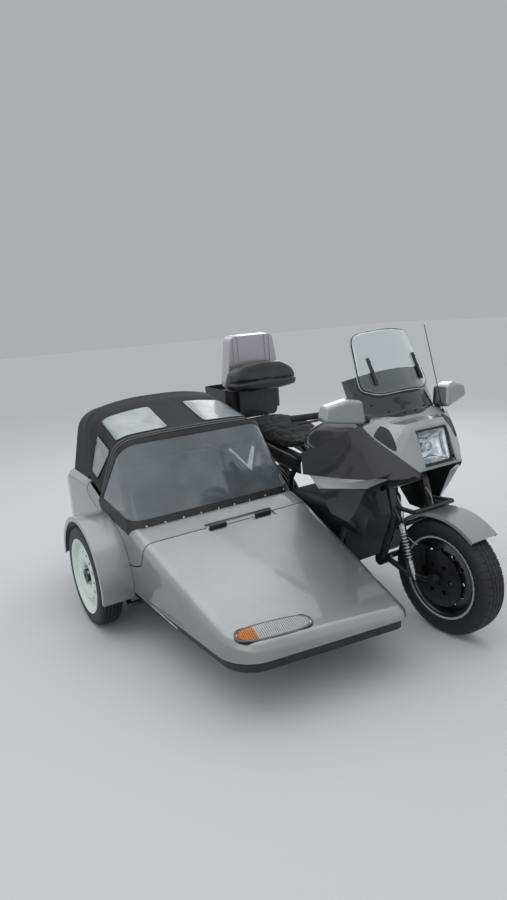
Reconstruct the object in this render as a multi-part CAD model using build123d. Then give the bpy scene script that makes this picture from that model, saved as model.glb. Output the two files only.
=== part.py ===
from build123d import *
import os
from math import radians, degrees, sin, cos, tan, atan2, hypot

os.makedirs("parts", exist_ok=True)

# A motorcycle with a sidecar on its own right-hand side, in millimetres.
# While it is built, x = 0 is the motorcycle's centre plane, the sidecar is towards -X,
# the front axle stands at y = 0, forwards is -Y, and z = 0 is the ground.

# Wheels
front_tyre_r = 284
rear_tyre_r = 288
sidecar_tyre_r = 275
tyre_width = 134
rim_r = 203
bead_r = 191
rim_width = 112
tyre_seat_r = rim_r + 0.3
low_run = 3
low_rise = 13.7
shoulder = 13.4
wheelbase = 1500
axle_r = 10
disc_r = 138
disc_thickness = 5
disc_x = 66
carrier_thickness = 4
hub_r = 38

# Steering
rake = 27
trail = 60
crown_low_z = 690
crown_top_z = 872
head_tube_r = 31
crown_width = 66
leg_x = 118
leg_r = 21
link_pivot_y = 322
link_pivot_z = front_tyre_r + 16
link_x = 103
link_r = 15
shock_x = 163
shock_top = (135, front_tyre_r + 272)
shock_bottom = (56, front_tyre_r)
shock_r = 22
spring_wire = 9
spring_turns = 8
leg_bend_z = front_tyre_r + 276
leg_ear_z = front_tyre_r + 316
fender_gap = 34
fender_half_width = 84
fender_skin = 3
brace_y = 80
brace_r = 11
grip_end_x = 372
grip_end_y = 690
grip_z = 1028
bar_r = 11
grip_r = 17

# Motorcycle body
engine_half_width = 205
engine_front_y = 500
engine_back_y = 965
gearbox_back_y = wheelbase - 350
engine_low_z = 232
engine_top_z = 560
tube_r = 17
skin = 5
headlight_half_width = 102
lower_in_x = 252
lower_out_x = 326
mirror_depth = 88
mirror_sweep = 16.5
headlight_low = (48, 826)
headlight_top = (92, 990)
topcase_hinge_y = 1696
topcase_rim_z = 1096
topcase_low_z = 945
topcase_front_y = 1612
topcase_lid_length = 350
topcase_lid_depth = 76
topcase_half_width = 217
topcase_rear_half_width = 168
case_wall = 4
stand_half_width = 146
pad_depth = 122

# Sidecar
centre_x = -740
half_width = 495
wall = 16
sill_z = 250
seam_gap = 6
rail_z = 180
rail_r = 20
hull_edge_r = 52
lid_hinge_y = 744
lid_hinge_z = 552
hinge_length = 96
hinge_places = (-825, -555)
recess_x0 = -885
recess_x1 = -487
recess_width = 72
recess_depth = 9
nose_y = -146
nose_lip_z = 291
lid_front_y = 750
lid_front_z = 545
screen_foot_y = 885
screen_foot_z = 583
pillar_foot = (1322, 640)
pillar_top = (1092, 984)
rim_clear = 88
arch_half_width = 428
arch_corner_r = 110
glass = 4
screen_skirt = 40
deck_z = 725
tail_y = 2140
sidecar_wheel_x = -1334
sidecar_wheel_y = 1248
lamp_x = -990
lamp_length = 345
lamp_width = 86
lamp_turn = -8.6

nodes = {}


def steer_y(z):
    """y of the steering axis at a height."""
    return -trail + z * tan(radians(rake))


def rod(start, end, radius):
    """Round bar between two points."""
    start, end = Vector(*start), Vector(*end)
    line = end - start
    return Plane(origin=start, z_dir=line) * Cylinder(radius, line.length,
                                                      align=(Align.CENTER, Align.CENTER, Align.MIN))


def bar(points, radius):
    """Round bar through several points, with ball corners."""
    shape = rod(points[0], points[1], radius)
    for here, there in zip(points[1:-1], points[2:]):
        shape = shape + rod(here, there, radius) + Pos(*here) * Sphere(radius)
    return shape


def bent(points, bends, radius):
    """Round bar bent to arcs at its corners."""
    path = FilletPolyline(*points, radius=bends)
    return sweep(Plane(origin=path @ 0, z_dir=path % 0) * Circle(radius), path=path)


def block(x0, x1, y0, y1, z0, z1):
    """Box from its limits."""
    return Pos((x0 + x1) / 2, (y0 + y1) / 2, (z0 + z1) / 2) * Box(abs(x1 - x0), abs(y1 - y0), abs(z1 - z0))


def side_prism(outline, x0, x1):
    """Side view outline of (y, z) points, drawn out from x0 to x1."""
    face = Plane.YZ * make_face(Polyline(*outline, close=True))
    return Pos(x0, 0, 0) * extrude(face, x1 - x0, dir=(1, 0, 0))


def spin(outline, place):
    """Turned ring: outline of (across, radius) points about the X axis through a place."""
    face = make_face(Polyline(*outline, close=True))
    return Pos(*place) * revolve(face, Axis.X)


def mirrored(shape):
    return mirror(shape, Plane.YZ)


def both(shape):
    return Compound(children=[shape, mirrored(shape)])


def tyre(radius, width, place):
    """Plain tyre on the rim's flanges: flat sides, cut shoulders and a flat tread."""
    half = width / 2
    wall_line = [(half - low_run, tyre_seat_r), (half, tyre_seat_r + low_rise), (half, radius - shoulder),
                 (half - shoulder, radius)]
    return spin(wall_line + [(-x, r) for x, r in reversed(wall_line)], place)


def rim(place, face_x, holes, hole_ring_r, hole_r, bolts, hub_half=0):
    """Pressed wheel: barrel with two flanges, and a dished disc at face_x from the middle."""
    half = rim_width / 2
    seat_r = bead_r - 0.3
    barrel = [(-half - 4, rim_r), (-half - 4, rim_r - 6), (-half + 2, bead_r - 6), (-half + 26, bead_r - 22),
              (half - 26, bead_r - 22), (half - 2, bead_r - 6), (half + 4, rim_r - 6), (half + 4, rim_r),
              (half, rim_r), (half, seat_r), (half - 22, seat_r), (half - 30, bead_r - 16),
              (-half + 30, bead_r - 16), (-half + 22, seat_r), (-half, seat_r), (-half, rim_r)]
    side = 1 if face_x > 0 else -1
    disc = [(face_x, axle_r), (face_x, 62), (face_x + side * 16, 84), (face_x + side * 20, hole_ring_r),
            (face_x, bead_r - 19), (face_x - side * 5, bead_r - 19), (face_x + side * 14, hole_ring_r),
            (face_x + side * 10, 84), (face_x - side * 6, 62), (face_x - side * 6, axle_r)]
    wheel = spin(barrel, (0, 0, 0)) + spin(disc, (0, 0, 0))
    vent = Plane.YZ * Cylinder(hole_r, 400)
    wheel = wheel - [Rot(360 * k / holes, 0, 0) * Pos(0, hole_ring_r, 0) * vent for k in range(holes)]
    nut = Plane.YZ * Cylinder(8, 20)
    nuts = [Rot(360 * k / bolts, 0, 0) * Pos(face_x + side * 8, 50, 0) * nut for k in range(bolts)]
    hub = Pos(face_x - side * 2, 0, 0) * (Plane.YZ * Cylinder(36, 44))
    wheel = wheel + nuts + hub
    if hub_half:
        wheel = wheel + Plane.YZ * Cylinder(hub_r, 2 * hub_half)
    wheel = wheel - Plane.YZ * Cylinder(axle_r + 0.5, 400)
    return Pos(*place) * wheel


def disc_brake(place, x):
    ring = Plane.YZ * Cylinder(disc_r, disc_thickness)
    ring = ring - Plane.YZ * Cylinder(disc_r - 34, 20)
    carrier = Plane.YZ * Cylinder(disc_r - 33, carrier_thickness)
    carrier = carrier - Plane.YZ * Cylinder(34, 20)
    slot = Plane.YZ * Cylinder(12, 40)
    carrier = carrier - [Rot(60 * k, 0, 0) * Pos(0, 72, 0) * slot for k in range(6)]
    return Pos(place[0] + x, place[1], place[2]) * (ring + carrier)


front_hub = (0, 0, front_tyre_r)
rear_hub = (0, wheelbase, rear_tyre_r)
sidecar_hub = (sidecar_wheel_x, sidecar_wheel_y, sidecar_tyre_r)
nodes["front_tyre"] = tyre(front_tyre_r, tyre_width, front_hub)
nodes["rear_tyre"] = tyre(rear_tyre_r, tyre_width + 20, rear_hub)
nodes["sidecar_tyre"] = tyre(sidecar_tyre_r, tyre_width - 10, sidecar_hub)
nodes["front_wheel"] = rim(front_hub, -18, 12, 130, 12, 5, disc_x - carrier_thickness / 2)
nodes["front_discs"] = both(disc_brake(front_hub, disc_x))
nodes["rear_wheel"] = rim(rear_hub, 16, 10, 130, 13, 4)
nodes["sidecar_wheel"] = rim(sidecar_hub, -30, 16, 132, 9, 5)

# Front fork: two legs behind the wheel carry a leading link and two spring units
axis_dir = Vector(0, sin(radians(rake)), cos(radians(rake)))
crown_low = (0, steer_y(crown_low_z), crown_low_z)
crown_top = (0, steer_y(crown_top_z), crown_top_z)
stem = rod(crown_low, crown_top, head_tube_r - 7)


def crown(z, depth):
    plate = Box(2 * leg_x + 2 * leg_r + 12, crown_width, depth)
    plate = fillet(plate.edges().filter_by(Axis.Z), crown_width / 2 - 6)
    return Plane(origin=(0, steer_y(z) - 12, z), z_dir=axis_dir, x_dir=(1, 0, 0)) * plate


leg_points = [(leg_x, steer_y(crown_top_z) - 30, crown_top_z + 6), (leg_x, steer_y(crown_low_z) - 44, crown_low_z),
              (leg_x, 214, leg_bend_z), (leg_x, link_pivot_y, link_pivot_z)]
fork_leg = bar(leg_points, leg_r)
pivot_boss = Pos(leg_x, link_pivot_y, link_pivot_z) * (Plane.YZ * Cylinder(30, 40))
shock_ear = bar([(leg_x, 222, leg_ear_z), (shock_x, shock_top[0], shock_top[1])], 12)
brace_reach = front_tyre_r + fender_gap + fender_skin + brace_r + 0.3
brace_z = front_tyre_r + (brace_reach ** 2 - brace_y ** 2) ** 0.5
brace_end = bar([(leg_x, 224, leg_ear_z), (leg_x + 14, brace_y, brace_z)], brace_r)
fork = stem + crown(crown_low_z, 30) + crown(crown_top_z, 22)
for leg in (fork_leg, pivot_boss, shock_ear, brace_end):
    fork = fork + leg + mirrored(leg)
fork = fork + rod((-leg_x - 14, brace_y, brace_z), (leg_x + 14, brace_y, brace_z), brace_r)
fork = fork + rod((-leg_x, 250, front_tyre_r + 196), (leg_x, 250, front_tyre_r + 196), 13)
nodes["fork"] = fork

# Leading link: a loop round the back of the tyre, with the front axle
loop_x = link_x - 14
arm_bend_z = front_tyre_r - 16
loop = bent([(link_x, 0, front_tyre_r), (link_x, 150, arm_bend_z), (loop_x, link_pivot_y, link_pivot_z),
             (-loop_x, link_pivot_y, link_pivot_z), (-link_x, 150, arm_bend_z), (-link_x, 0, front_tyre_r)],
            [90, 42, 42, 90], link_r)
pivot_x = leg_x - 20
pivot_pin = rod((-pivot_x, link_pivot_y, link_pivot_z), (pivot_x, link_pivot_y, link_pivot_z), link_r - 3)
axle_end = Pos(link_x, 0, front_tyre_r) * (Plane.YZ * Cylinder(26, 30))
axle = rod((-link_x - 20, 0, front_tyre_r), (link_x + 20, 0, front_tyre_r), axle_r)
eye = rod((link_x, shock_bottom[0], shock_bottom[1]), (shock_x + 8, shock_bottom[0], shock_bottom[1]), 8)
caliper_arm = block(97, 109, 78, 114, front_tyre_r - 14, front_tyre_r + 116)
link = axle_end + eye + caliper_arm
nodes["leading_link"] = loop + pivot_pin + axle + link + mirrored(link) - nodes["fork"]


def spring_unit(x, top, bottom, radius):
    """Telescopic unit with a coil spring, from (y, z) top to (y, z) bottom."""
    top, bottom = Vector(x, *top), Vector(x, *bottom)
    line = bottom - top
    plane = Plane(origin=top, z_dir=line)
    length = line.length
    body = Pos(0, 0, length * 0.5) * Cylinder(radius * 0.42, length)
    body = body + Pos(0, 0, 34) * Cylinder(radius * 0.8, 40)
    body = body + Pos(0, 0, length - 62) * Cylinder(radius * 0.8, 70)
    pitch = (length - 160) / spring_turns
    coil = [(0, 54)]
    for k in range(spring_turns):
        coil = coil + [(radius - spring_wire, 54 + k * pitch), (radius, 54 + (k + 0.3) * pitch),
                       (radius, 54 + (k + 0.6) * pitch)]
    coil = coil + [(radius - spring_wire, 54 + spring_turns * pitch), (0, 54 + spring_turns * pitch)]
    body = body + revolve(Plane.XZ * make_face(Polyline(*coil, close=True)), Axis.Z)
    return plane * body


unit = spring_unit(shock_x, shock_top, shock_bottom, shock_r)
unit = unit - rod((0, shock_bottom[0], shock_bottom[1]), (300, shock_bottom[0], shock_bottom[1]), 8.3)
unit = unit - Pos(shock_x, shock_top[0], shock_top[1]) * Sphere(12.3)
nodes["fork_shocks"] = both(unit)


def ring_band(place, inner_r, outer_r, x0, x1, first, last):
    """Part of a ring about the X axis through place, between two angles from straight ahead."""
    ring = Plane.YZ * Cylinder(outer_r, x1 - x0)
    ring = ring - Plane.YZ * Cylinder(inner_r, x1 - x0 + 2)
    reach = outer_r * 2
    steps = [first + (last - first) * k / 6 for k in range(7)]
    fan = [(0, 0)] + [(-reach * cos(radians(a)), reach * sin(radians(a))) for a in steps]
    wedge = side_prism(fan, x0 - 5, x1 + 5)
    return Pos(*place) * (Pos((x0 + x1) / 2, 0, 0) * ring & wedge)


front_fender = ring_band(front_hub, front_tyre_r + fender_gap, front_tyre_r + fender_gap + fender_skin,
                         -fender_half_width, fender_half_width, 48, 136)
lip = ring_band(front_hub, front_tyre_r + fender_gap - 16, front_tyre_r + fender_gap + fender_skin,
                -fender_half_width, -fender_half_width + fender_skin, 48, 136)
nodes["front_fender"] = front_fender + lip + mirrored(lip)

# Handlebar, grips and levers
riser_y = steer_y(crown_top_z)
bar_half = [(110, riser_y + 14, crown_top_z + 72),
            (190, riser_y + 62, grip_z + 34), (grip_end_x, grip_end_y, grip_z)]
bar_right = [(-x, y, z) for x, y, z in reversed(bar_half)]
handlebar = bent(bar_right + bar_half, [45, 45, 45, 45], bar_r)
riser = rod((60, riser_y, crown_top_z + 8), (60, riser_y + 14, crown_top_z + 72), 16)
handlebar = handlebar + riser + mirrored(riser)
grip_start = Vector(*bar_half[1]) + (Vector(*bar_half[2]) - Vector(*bar_half[1])) * 0.38
grip = rod(tuple(grip_start), bar_half[2], grip_r)
lever_root = Vector(*bar_half[1]) + (Vector(*bar_half[2]) - Vector(*bar_half[1])) * 0.25
lever_root = lever_root + Vector(0, 0, -4)
lever = bar([tuple(lever_root), (lever_root.X + 20, lever_root.Y - 34, lever_root.Z - 6),
             (grip_end_x * 0.98, grip_end_y - 52, grip_z - 22)], 6)
nodes["handlebar"] = handlebar - grip - mirrored(grip) - lever - mirrored(lever) - nodes["fork"]
nodes["grips"] = both(grip)
nodes["levers"] = both(lever - grip)

caliper = Pos(74, 96, front_tyre_r + 92) * Box(46, 56, 96)
caliper = fillet(caliper.edges().filter_by(Axis.X), 14)
caliper = caliper - Pos(disc_x, 0, front_tyre_r) * (Plane.YZ * Cylinder(disc_r + 5, disc_thickness + 10))
nodes["front_calipers"] = both(caliper)

# Motorcycle frame
head = rod((0, steer_y(crown_low_z + 30), crown_low_z + 30), (0, steer_y(crown_top_z - 24), crown_top_z - 24), head_tube_r)
frame_runs = [
    [(0, 372, 800), (92, 540, 768), (118, 980, 735), (104, 1460, 800)],
    [(0, 345, 742), (146, 424, 690), (165, 500, 600), (165, 560, 590)],
    [(118, 980, 735), (128, 1075, 600), (128, gearbox_back_y - 40, 440)],
    [(128, 1075, 600), (106, 1400, 786)],
    [(165, 500, 600), (108, 770, 752)],
]
rear_shock_top = Vector(-118, wheelbase - 130, 740)
rear_shock_foot = Vector(-118, wheelbase - 100, rear_tyre_r + 64)
rear_shock_line = (rear_shock_top - rear_shock_foot).normalized()
lug_r = 11
frame = head
for run in frame_runs:
    side = bar(run, tube_r)
    frame = frame + side + mirrored(side)
for y, z in ((700, 772.7), (1000, 738), (1440, 797)):
    frame = frame + rod((-112, y, z), (112, y, z), tube_r - 3)
shock_lug = rod(tuple(rear_shock_top), tuple(rear_shock_top + rear_shock_line * 30), lug_r)
stay_y = 150
stay_z = 806
frame = frame + shock_lug + bar([(0, steer_y(775), 775), (0, stay_y, stay_z)], 12)
frame = frame + rod((-260, stay_y, stay_z), (260, stay_y, stay_z), 9)
frame = frame + rod((0, stay_y, stay_z), (0, stay_y + 14, 870), 9)
frame = frame - rod((0, steer_y(600), 600), (0, steer_y(950), 950), head_tube_r - 6.5)

engine = block(-engine_half_width, engine_half_width, engine_front_y, engine_back_y, engine_low_z, engine_top_z)
engine = fillet(engine.edges().filter_by(Axis.Y), 46)
engine = engine + block(-118, 118, engine_back_y - 20, gearbox_back_y, 262, 470)
nodes["engine"] = engine - frame
nodes["radiator"] = block(-125, 125, 440, engine_front_y - 0.3, 470, 650)

# Tank, seat and tail
tank = loft([Plane.XZ.offset(-490) * Pos(0, 905) * RectangleRounded(180, 120, 30),
             Plane.XZ.offset(-600) * Pos(0, 895) * RectangleRounded(310, 190, 60),
             Plane.XZ.offset(-780) * Pos(0, 872) * RectangleRounded(330, 170, 60),
             Plane.XZ.offset(-930) * Pos(0, 836) * RectangleRounded(250, 70, 30)])
nodes["fuel_tank"] = tank
seat = side_prism([(936, 820), (1120, 812), (1200, 848), (1460, 862), (1560, 872), (1560, 838), (1480, 826),
                   (1462, 818), (1120, 772), (980, 752.5), (940, 756)], -150, 150)
nodes["seat"] = seat - frame
tail = loft([Plane.XZ.offset(-1000) * Pos(0, 680) * RectangleRounded(270, 110, 30),
             Plane.XZ.offset(-1300) * Pos(0, 740) * RectangleRounded(320, 110, 36),
             Plane.XZ.offset(-1700) * Pos(0, 830) * RectangleRounded(250, 96, 36)])
tail = tail - block(-105, 105, 900, 1640, 600, 900) - seat - frame
tail = tail - rod(tuple(rear_shock_top + rear_shock_line * 60), tuple(rear_shock_foot), 32)
nodes["tail_cover"] = tail
nodes["tail_lamp"] = block(-90, 90, 1700.3, 1722, 800, 858)

rack_r = 9
rack_z = topcase_low_z - rack_r - 0.3
rack = bar([(90, 1668, 850), (90, 1648, rack_z), (90, 1960, rack_z)], rack_r)
rack = rack + mirrored(rack)
for y in (1660, 1940):
    rack = rack + rod((-90, y, rack_z), (90, y, rack_z), 8)
nodes["luggage_rack"] = rack - tail

# Top case: open tray, and a lid that stands open, hinged on the tray's front
case_rear_y = topcase_hinge_y + topcase_lid_length


def case_plan(inset, front_y):
    """Plan outline of the case, narrower at its rear."""
    half, rear = topcase_half_width - inset, topcase_rear_half_width - inset
    outline = [(-half, front_y + inset), (half, front_y + inset), (rear, case_rear_y - inset),
               (-rear, case_rear_y - inset)]
    face = make_face(Polyline(*outline, close=True))
    return fillet(face.vertices(), 52 - inset)


tray = Pos(0, 0, topcase_low_z) * extrude(case_plan(0, topcase_front_y), topcase_rim_z - topcase_low_z)
tray_hole = Pos(0, 0, topcase_low_z + case_wall) * extrude(case_plan(case_wall, topcase_front_y), 300)
tray_hole = tray_hole & block(-400, 400, topcase_hinge_y + 12, 2400, 800, 1300)
case_hinge_z = topcase_rim_z + 3
hinge_lug = block(30, 90, topcase_hinge_y - 2, topcase_hinge_y + 2, topcase_rim_z - 8, case_hinge_z)
hinge_lug = hinge_lug + rod((30, topcase_hinge_y, case_hinge_z), (90, topcase_hinge_y, case_hinge_z), 2.4)
nodes["topcase_base"] = (tray - tray_hole) + hinge_lug + mirrored(hinge_lug)
lid_closed_z = topcase_rim_z + 6
closed_lid = Pos(0, 0, lid_closed_z) * extrude(case_plan(0, topcase_hinge_y), topcase_lid_depth, taper=6)
lid_hole = Pos(0, 0, lid_closed_z - 1) * extrude(case_plan(case_wall, topcase_hinge_y), topcase_lid_depth - 4, taper=6)
rib = Pos(0, 0, lid_closed_z + topcase_lid_depth) * block(-8, 8, topcase_hinge_y + 14, case_rear_y - 14, -2, 5)
ribs = [Pos(x, 0, 0) * rib for x in (-140, -104, 104, 140)]
closed_lid = closed_lid - lid_hole + ribs
hinge_turn = Pos(0, topcase_hinge_y, topcase_rim_z + 3) * Rot(90, 0, 0) * Pos(0, -topcase_hinge_y, -topcase_rim_z - 3)
nodes["topcase_lid"] = hinge_turn * closed_lid

stand = block(-stand_half_width, stand_half_width, topcase_front_y - 30, topcase_front_y - 0.3, 905, 1236)
nodes["backrest_stand"] = fillet(stand.edges().filter_by(Axis.Y), 40)
pad_back = topcase_front_y - 30.3
pad_outline = [(-250, 1100), (-120, 1084), (120, 1084), (250, 1100), (262, 1140), (236, 1216), (150, 1262),
               (0, 1278), (-150, 1262), (-236, 1216), (-262, 1140)]
pad_face = make_face(Polyline(*pad_outline, close=True))
pad_face = fillet(pad_face.vertices(), 22)
pad = Pos(0, pad_back, 0) * extrude(Plane.XZ * pad_face, pad_depth)
nodes["backrest_pad"] = fillet(pad.faces().sort_by(Axis.Y)[0].edges(), 34)


# Fairing: one loft through cross-sections, then parted along the crease
# columns: y, top z, shoulder x, shoulder z, crease x, crease z, bottom x, bottom z
fairing_sections = [
    (30, 834, 104, 830, 142, 812, 130, 788),
    (98, 1004, 112, 1000, 202, 884, 186, 776),
    (190, 1030, 160, 1022, 262, 965, 244, 766),
    (262, 1062, 214, 1050, 290, 1024, 270, 760),
    (420, 1000, 240, 980, 304, 948, 290, 742),
    (730, 900, 240, 880, 296, 826, 290, 708),
]


def eased(rows, steps):
    """More rows between the given ones, along a smooth curve through them."""
    out = []
    for k in range(len(rows) - 1):
        before, here, there, after = rows[max(k - 1, 0)], rows[k], rows[k + 1], rows[min(k + 2, len(rows) - 1)]
        span = there[0] - here[0]
        for step in range(steps):
            t = step / steps
            row = [here[0] + span * t]
            for a, b, c, d in zip(before[1:], here[1:], there[1:], after[1:]):
                slope_in = (c - a) / (there[0] - before[0]) * span
                slope_out = (d - b) / (after[0] - here[0]) * span
                row.append((2 * t ** 3 - 3 * t ** 2 + 1) * b + (t ** 3 - 2 * t ** 2 + t) * slope_in
                           + (3 * t ** 2 - 2 * t ** 3) * c + (t ** 3 - t ** 2) * slope_out)
            out.append(tuple(row))
    return out + [rows[-1]]


fairing_rows = eased(fairing_sections, 3)


def fairing_loft(inset, drop, front, back):
    faces = []
    for row, (y, top, sx, sz, cx, cz, bx, bz) in enumerate(fairing_rows):
        y_here = y + (front if row == 0 else 0) + (back if row == len(fairing_rows) - 1 else 0)
        pts = [(0, top - inset), (sx - inset, sz - inset), (cx - inset, cz - inset / 2), (bx - inset, bz - drop)]
        outline = pts + [(-x, z) for x, z in reversed(pts) if x > 0]
        face = make_face(Polyline(*outline, close=True))
        faces.append(Plane(origin=(0, y_here, 0), x_dir=(1, 0, 0), z_dir=(0, -1, 0)) * face)
    return loft(faces, ruled=True)


crease_line = [(row[0], row[5]) for row in fairing_rows]
crease_line = [(-100, crease_line[0][1])] + crease_line + [(1000, crease_line[-1][1])]
above_crease = side_prism(crease_line + [(1000, 1500), (-100, 1500)], -500, 500)
fairing = fairing_loft(0, 0, 0, 0) - fairing_loft(skin, 40, skin, 40)
lamp_cut = block(-headlight_half_width, headlight_half_width, -50, 110, headlight_low[1] - 0.3, headlight_top[1] + 0.3)
nose = (fairing & above_crease) - lamp_cut
nose = nose - block(-400, 400, 300, 1000, 700, 1400)
nodes["nose_fairing"] = nose
sides = fairing - above_crease
nodes["side_fairings"] = sides - block(-135, 135, -100, 60, 700, 900) - block(-9, 9, 20, 200, 700, 900)

# columns: y and z at the inner side, y and z at the outer side
lower_corners = [
    (118, 786, 186, 744), (733, 704, 552, 672), (640, 650, 524, 646), (484, 470, 462, 560),
    (300, 456, 330, 545), (262, 572, 276, 600), (196, 716, 206, 716),
]
lower_inner = make_face(Polyline(*[(row[0], row[1]) for row in lower_corners], close=True))
lower_outer = make_face(Polyline(*[(row[2], row[3]) for row in lower_corners], close=True))
lower = loft([Plane.YZ.offset(lower_in_x) * lower_inner, Plane.YZ.offset(lower_out_x) * lower_outer], ruled=True)
lower = lower - fairing_loft(0, 0, 0, 0) - frame
nodes["lower_fairings"] = both(lower)

headlight = side_prism([headlight_low, headlight_top, (200, 970), (200, 850)],
                       -headlight_half_width + 0.3, headlight_half_width - 0.3)
nodes["headlight"] = headlight
nodes["frame"] = (frame - headlight - fairing).solids().sort_by(SortBy.VOLUME)[-1]

# Screens: smoked lower one, and a tall clear one held by two clamps
screen_r = 430


def screen_sheet(low_y, low_z, high_y, high_z, half, thickness, radius):
    """Sheet bent round an upright cylinder that leans back, between two heights."""
    lean = degrees(atan2(high_y - low_y, high_z - low_z))
    length = hypot(high_y - low_y, high_z - low_z)
    outer = Cylinder(radius, length) - Cylinder(radius - thickness, length + 2)
    outer = outer & Pos(0, -radius, 0) * Box(2 * half, 1.2 * radius, length + 4)
    return Pos(0, (low_y + high_y) / 2, (low_z + high_z) / 2) * Rot(-lean, 0, 0) * Pos(0, radius, 0) * outer


lower_screen = screen_sheet(212, 1046, 312, 1262, 268, 4, screen_r)
nodes["lower_screen"] = lower_screen - fairing_loft(0, 0, 0, 0)
tall_screen = screen_sheet(238, 1160, 388, 1456, 226, 4, screen_r)
nodes["tall_screen"] = tall_screen
clamp_x = 150
clamp_lean = 25
clamp = Pos(clamp_x, 318, 1225) * Rot(-clamp_lean, 0, 0) * Box(14, 90, 62) - nodes["lower_screen"] - tall_screen
nodes["screen_clamps"] = both(clamp.solids().sort_by(Axis.Y)[1])

mirror_outline = [(-108, -66), (-92, 48), (-20, 60), (92, 36), (108, -20), (100, -38)]
mirror_head = extrude(Plane.XZ * make_face(Polyline(*mirror_outline, close=True)), mirror_depth / 2, both=True)
mirror_head = fillet(mirror_head.edges(), 20)
mirror_place = Pos(366, 293, 1099) * Rot(0, 0, mirror_sweep)
mirror_stem = rod((232, 258, 1046), (300, 285, 1060), 16)
mirror_stem = mirror_stem - mirror_place * mirror_head
nodes["mirrors"] = both(mirror_place * mirror_head)
nodes["mirror_stems"] = both(mirror_stem.solids().sort_by(Axis.X)[0] - fairing_loft(0, 0, 0, 0) - nodes["lower_screen"])
nodes["dashboard"] = block(-100, 100, 240, 299, 985, 1090) & fairing_loft(skin + 0.3, 40, 0, 0)
antenna = rod((240, 224, 1008), (240, 343, 1455), 2) + rod((240, 226, 1010), (240, 232, 1034), 7)
nodes["antenna"] = antenna - fairing_loft(0, 0, 0, 0)

# Rear arm with shaft drive on the sidecar's side, spring unit and silencer
arm = bar([(-100, gearbox_back_y - 10, 372), (-122, wheelbase - 170, 330), (-122, wheelbase, rear_tyre_r)], 30)
drive = Pos(-122, wheelbase, rear_tyre_r) * (Plane.YZ * Cylinder(78, 70))
stub = rod((-90, wheelbase, rear_tyre_r), (40, wheelbase, rear_tyre_r), axle_r)
foot_lug = rod(tuple(rear_shock_foot), tuple(rear_shock_foot - rear_shock_line * 34), lug_r)
nodes["rear_arm"] = (arm + drive + stub + foot_lug) - nodes["engine"]
nodes["rear_shock"] = spring_unit(rear_shock_top.X, (rear_shock_top.Y, rear_shock_top.Z),
                                  (rear_shock_foot.Y, rear_shock_foot.Z), 28)
silencer_y = wheelbase - 420
nodes["silencer"] = fillet(block(120, 250, silencer_y, silencer_y + 560, 250, 370).edges().filter_by(Axis.Y), 40)
pipe = [bar([(180, 560 + 90 * k, 236), (150, 600 + 90 * k, 200)], 18) for k in range(4)]
collector = bar([(150, 600, 200), (150, silencer_y - 80, 200), (180, silencer_y + 10, 300)], 24)
nodes["exhaust_pipes"] = (collector + pipe) - nodes["engine"] - nodes["silencer"]

# Sidecar body: plan outline and side outline drawn through each other, then hollowed
outer_x = centre_x - half_width
inner_x = centre_x + half_width
plan_points = [(-394, nose_y), (-1196, nose_y + 121), (outer_x, 800), (outer_x, 1900), (outer_x + 40, tail_y),
               (inner_x - 40, tail_y), (inner_x, 1900), (inner_x, 776)]
plan_radii = [60, 170, 300, 200, 150, 150, 200, 200]
side_points = [(nose_y - 60, sill_z), (nose_y - 60, nose_lip_z - 17), (lid_front_y, lid_front_z),
               (screen_foot_y, screen_foot_z), pillar_foot, (1550, deck_z), (1900, deck_z),
               (tail_y + 10, 640), (tail_y + 10, 330), (2040, sill_z)]
side_radii = [0, 0, 420, 300, 160, 120, 80, 60, 80, 60]


def rounded(points, radii):
    """Closed outline with its own radius at each corner."""
    face = make_face(Polyline(*points, close=True))
    for point, radius in zip(points, radii):
        if radius:
            corner = face.vertices().sort_by_distance(Vector(*point))[0]
            face = fillet(corner, radius)
    return face


def sidecar_block(inset):
    """The body's outer form, drawn in by a wall, with its upper edges rounded."""
    plan = rounded(plan_points, plan_radii)
    side = rounded(side_points, side_radii)
    if inset:
        plan = offset(plan, -inset)
        side = offset(side, -inset)
    tall = extrude(plan, 1200)
    long = Pos(-1500, 0, 0) * extrude(Plane.YZ * side, 1500, dir=(1, 0, 0))
    form = tall & long
    slope_edge = form.edges().sort_by_distance(Vector(outer_x + inset, 432, 455 - inset))[0]
    return form.fillet(hull_edge_r - inset, [slope_edge])


shell = sidecar_block(0)
seat_shell = sidecar_block(-0.3)
cavity = sidecar_block(wall)
body = shell - cavity
cockpit = block(outer_x + 40, inner_x - 40, screen_foot_y + 22, 1870, 500, 900)
body = body - cockpit
seam = [(lid_front_y, 900), (lid_front_y, 500), (790, 426), (900, 392), (1110, 376), (1353, 575), (1530, 643),
        (1530, 900)]
seam_face = rounded(seam, [0, 60, 60, 120, 90, 120, 0, 0])
lid_zone = Pos(-1400, 0, 0) * extrude(Plane.YZ * seam_face, 1400, dir=(1, 0, 0))
lid_inner = Pos(-1400, 0, 0) * extrude(Plane.YZ * offset(seam_face, -seam_gap), 1400, dir=(1, 0, 0))
slope_run = lid_front_y - nose_y + 60
slope_rise = lid_front_z - nose_lip_z + 17
lamp_y = 20
lamp_z = nose_lip_z - 17 + (lamp_y - nose_y + 60) * slope_rise / slope_run
slope_deg = degrees(atan2(slope_rise, slope_run))
lamp_place = Pos(lamp_x, lamp_y, lamp_z) * Rot(slope_deg, 0, lamp_turn)
lamp_depth = 10
pocket = Pos(0, 0, -lamp_depth - 0.3) * extrude(SlotOverall(lamp_length + 2, lamp_width + 2), 60)
recess = Box(recess_x1 - recess_x0, recess_width, 2 * recess_depth)
recess = Pos((recess_x0 + recess_x1) / 2, lid_front_y, lid_front_z) * Rot(slope_deg, 0, 0) * recess
hull = body - lid_zone - lamp_place * pocket - recess
nodes["sidecar_hull"] = hull
hinges = []
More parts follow.
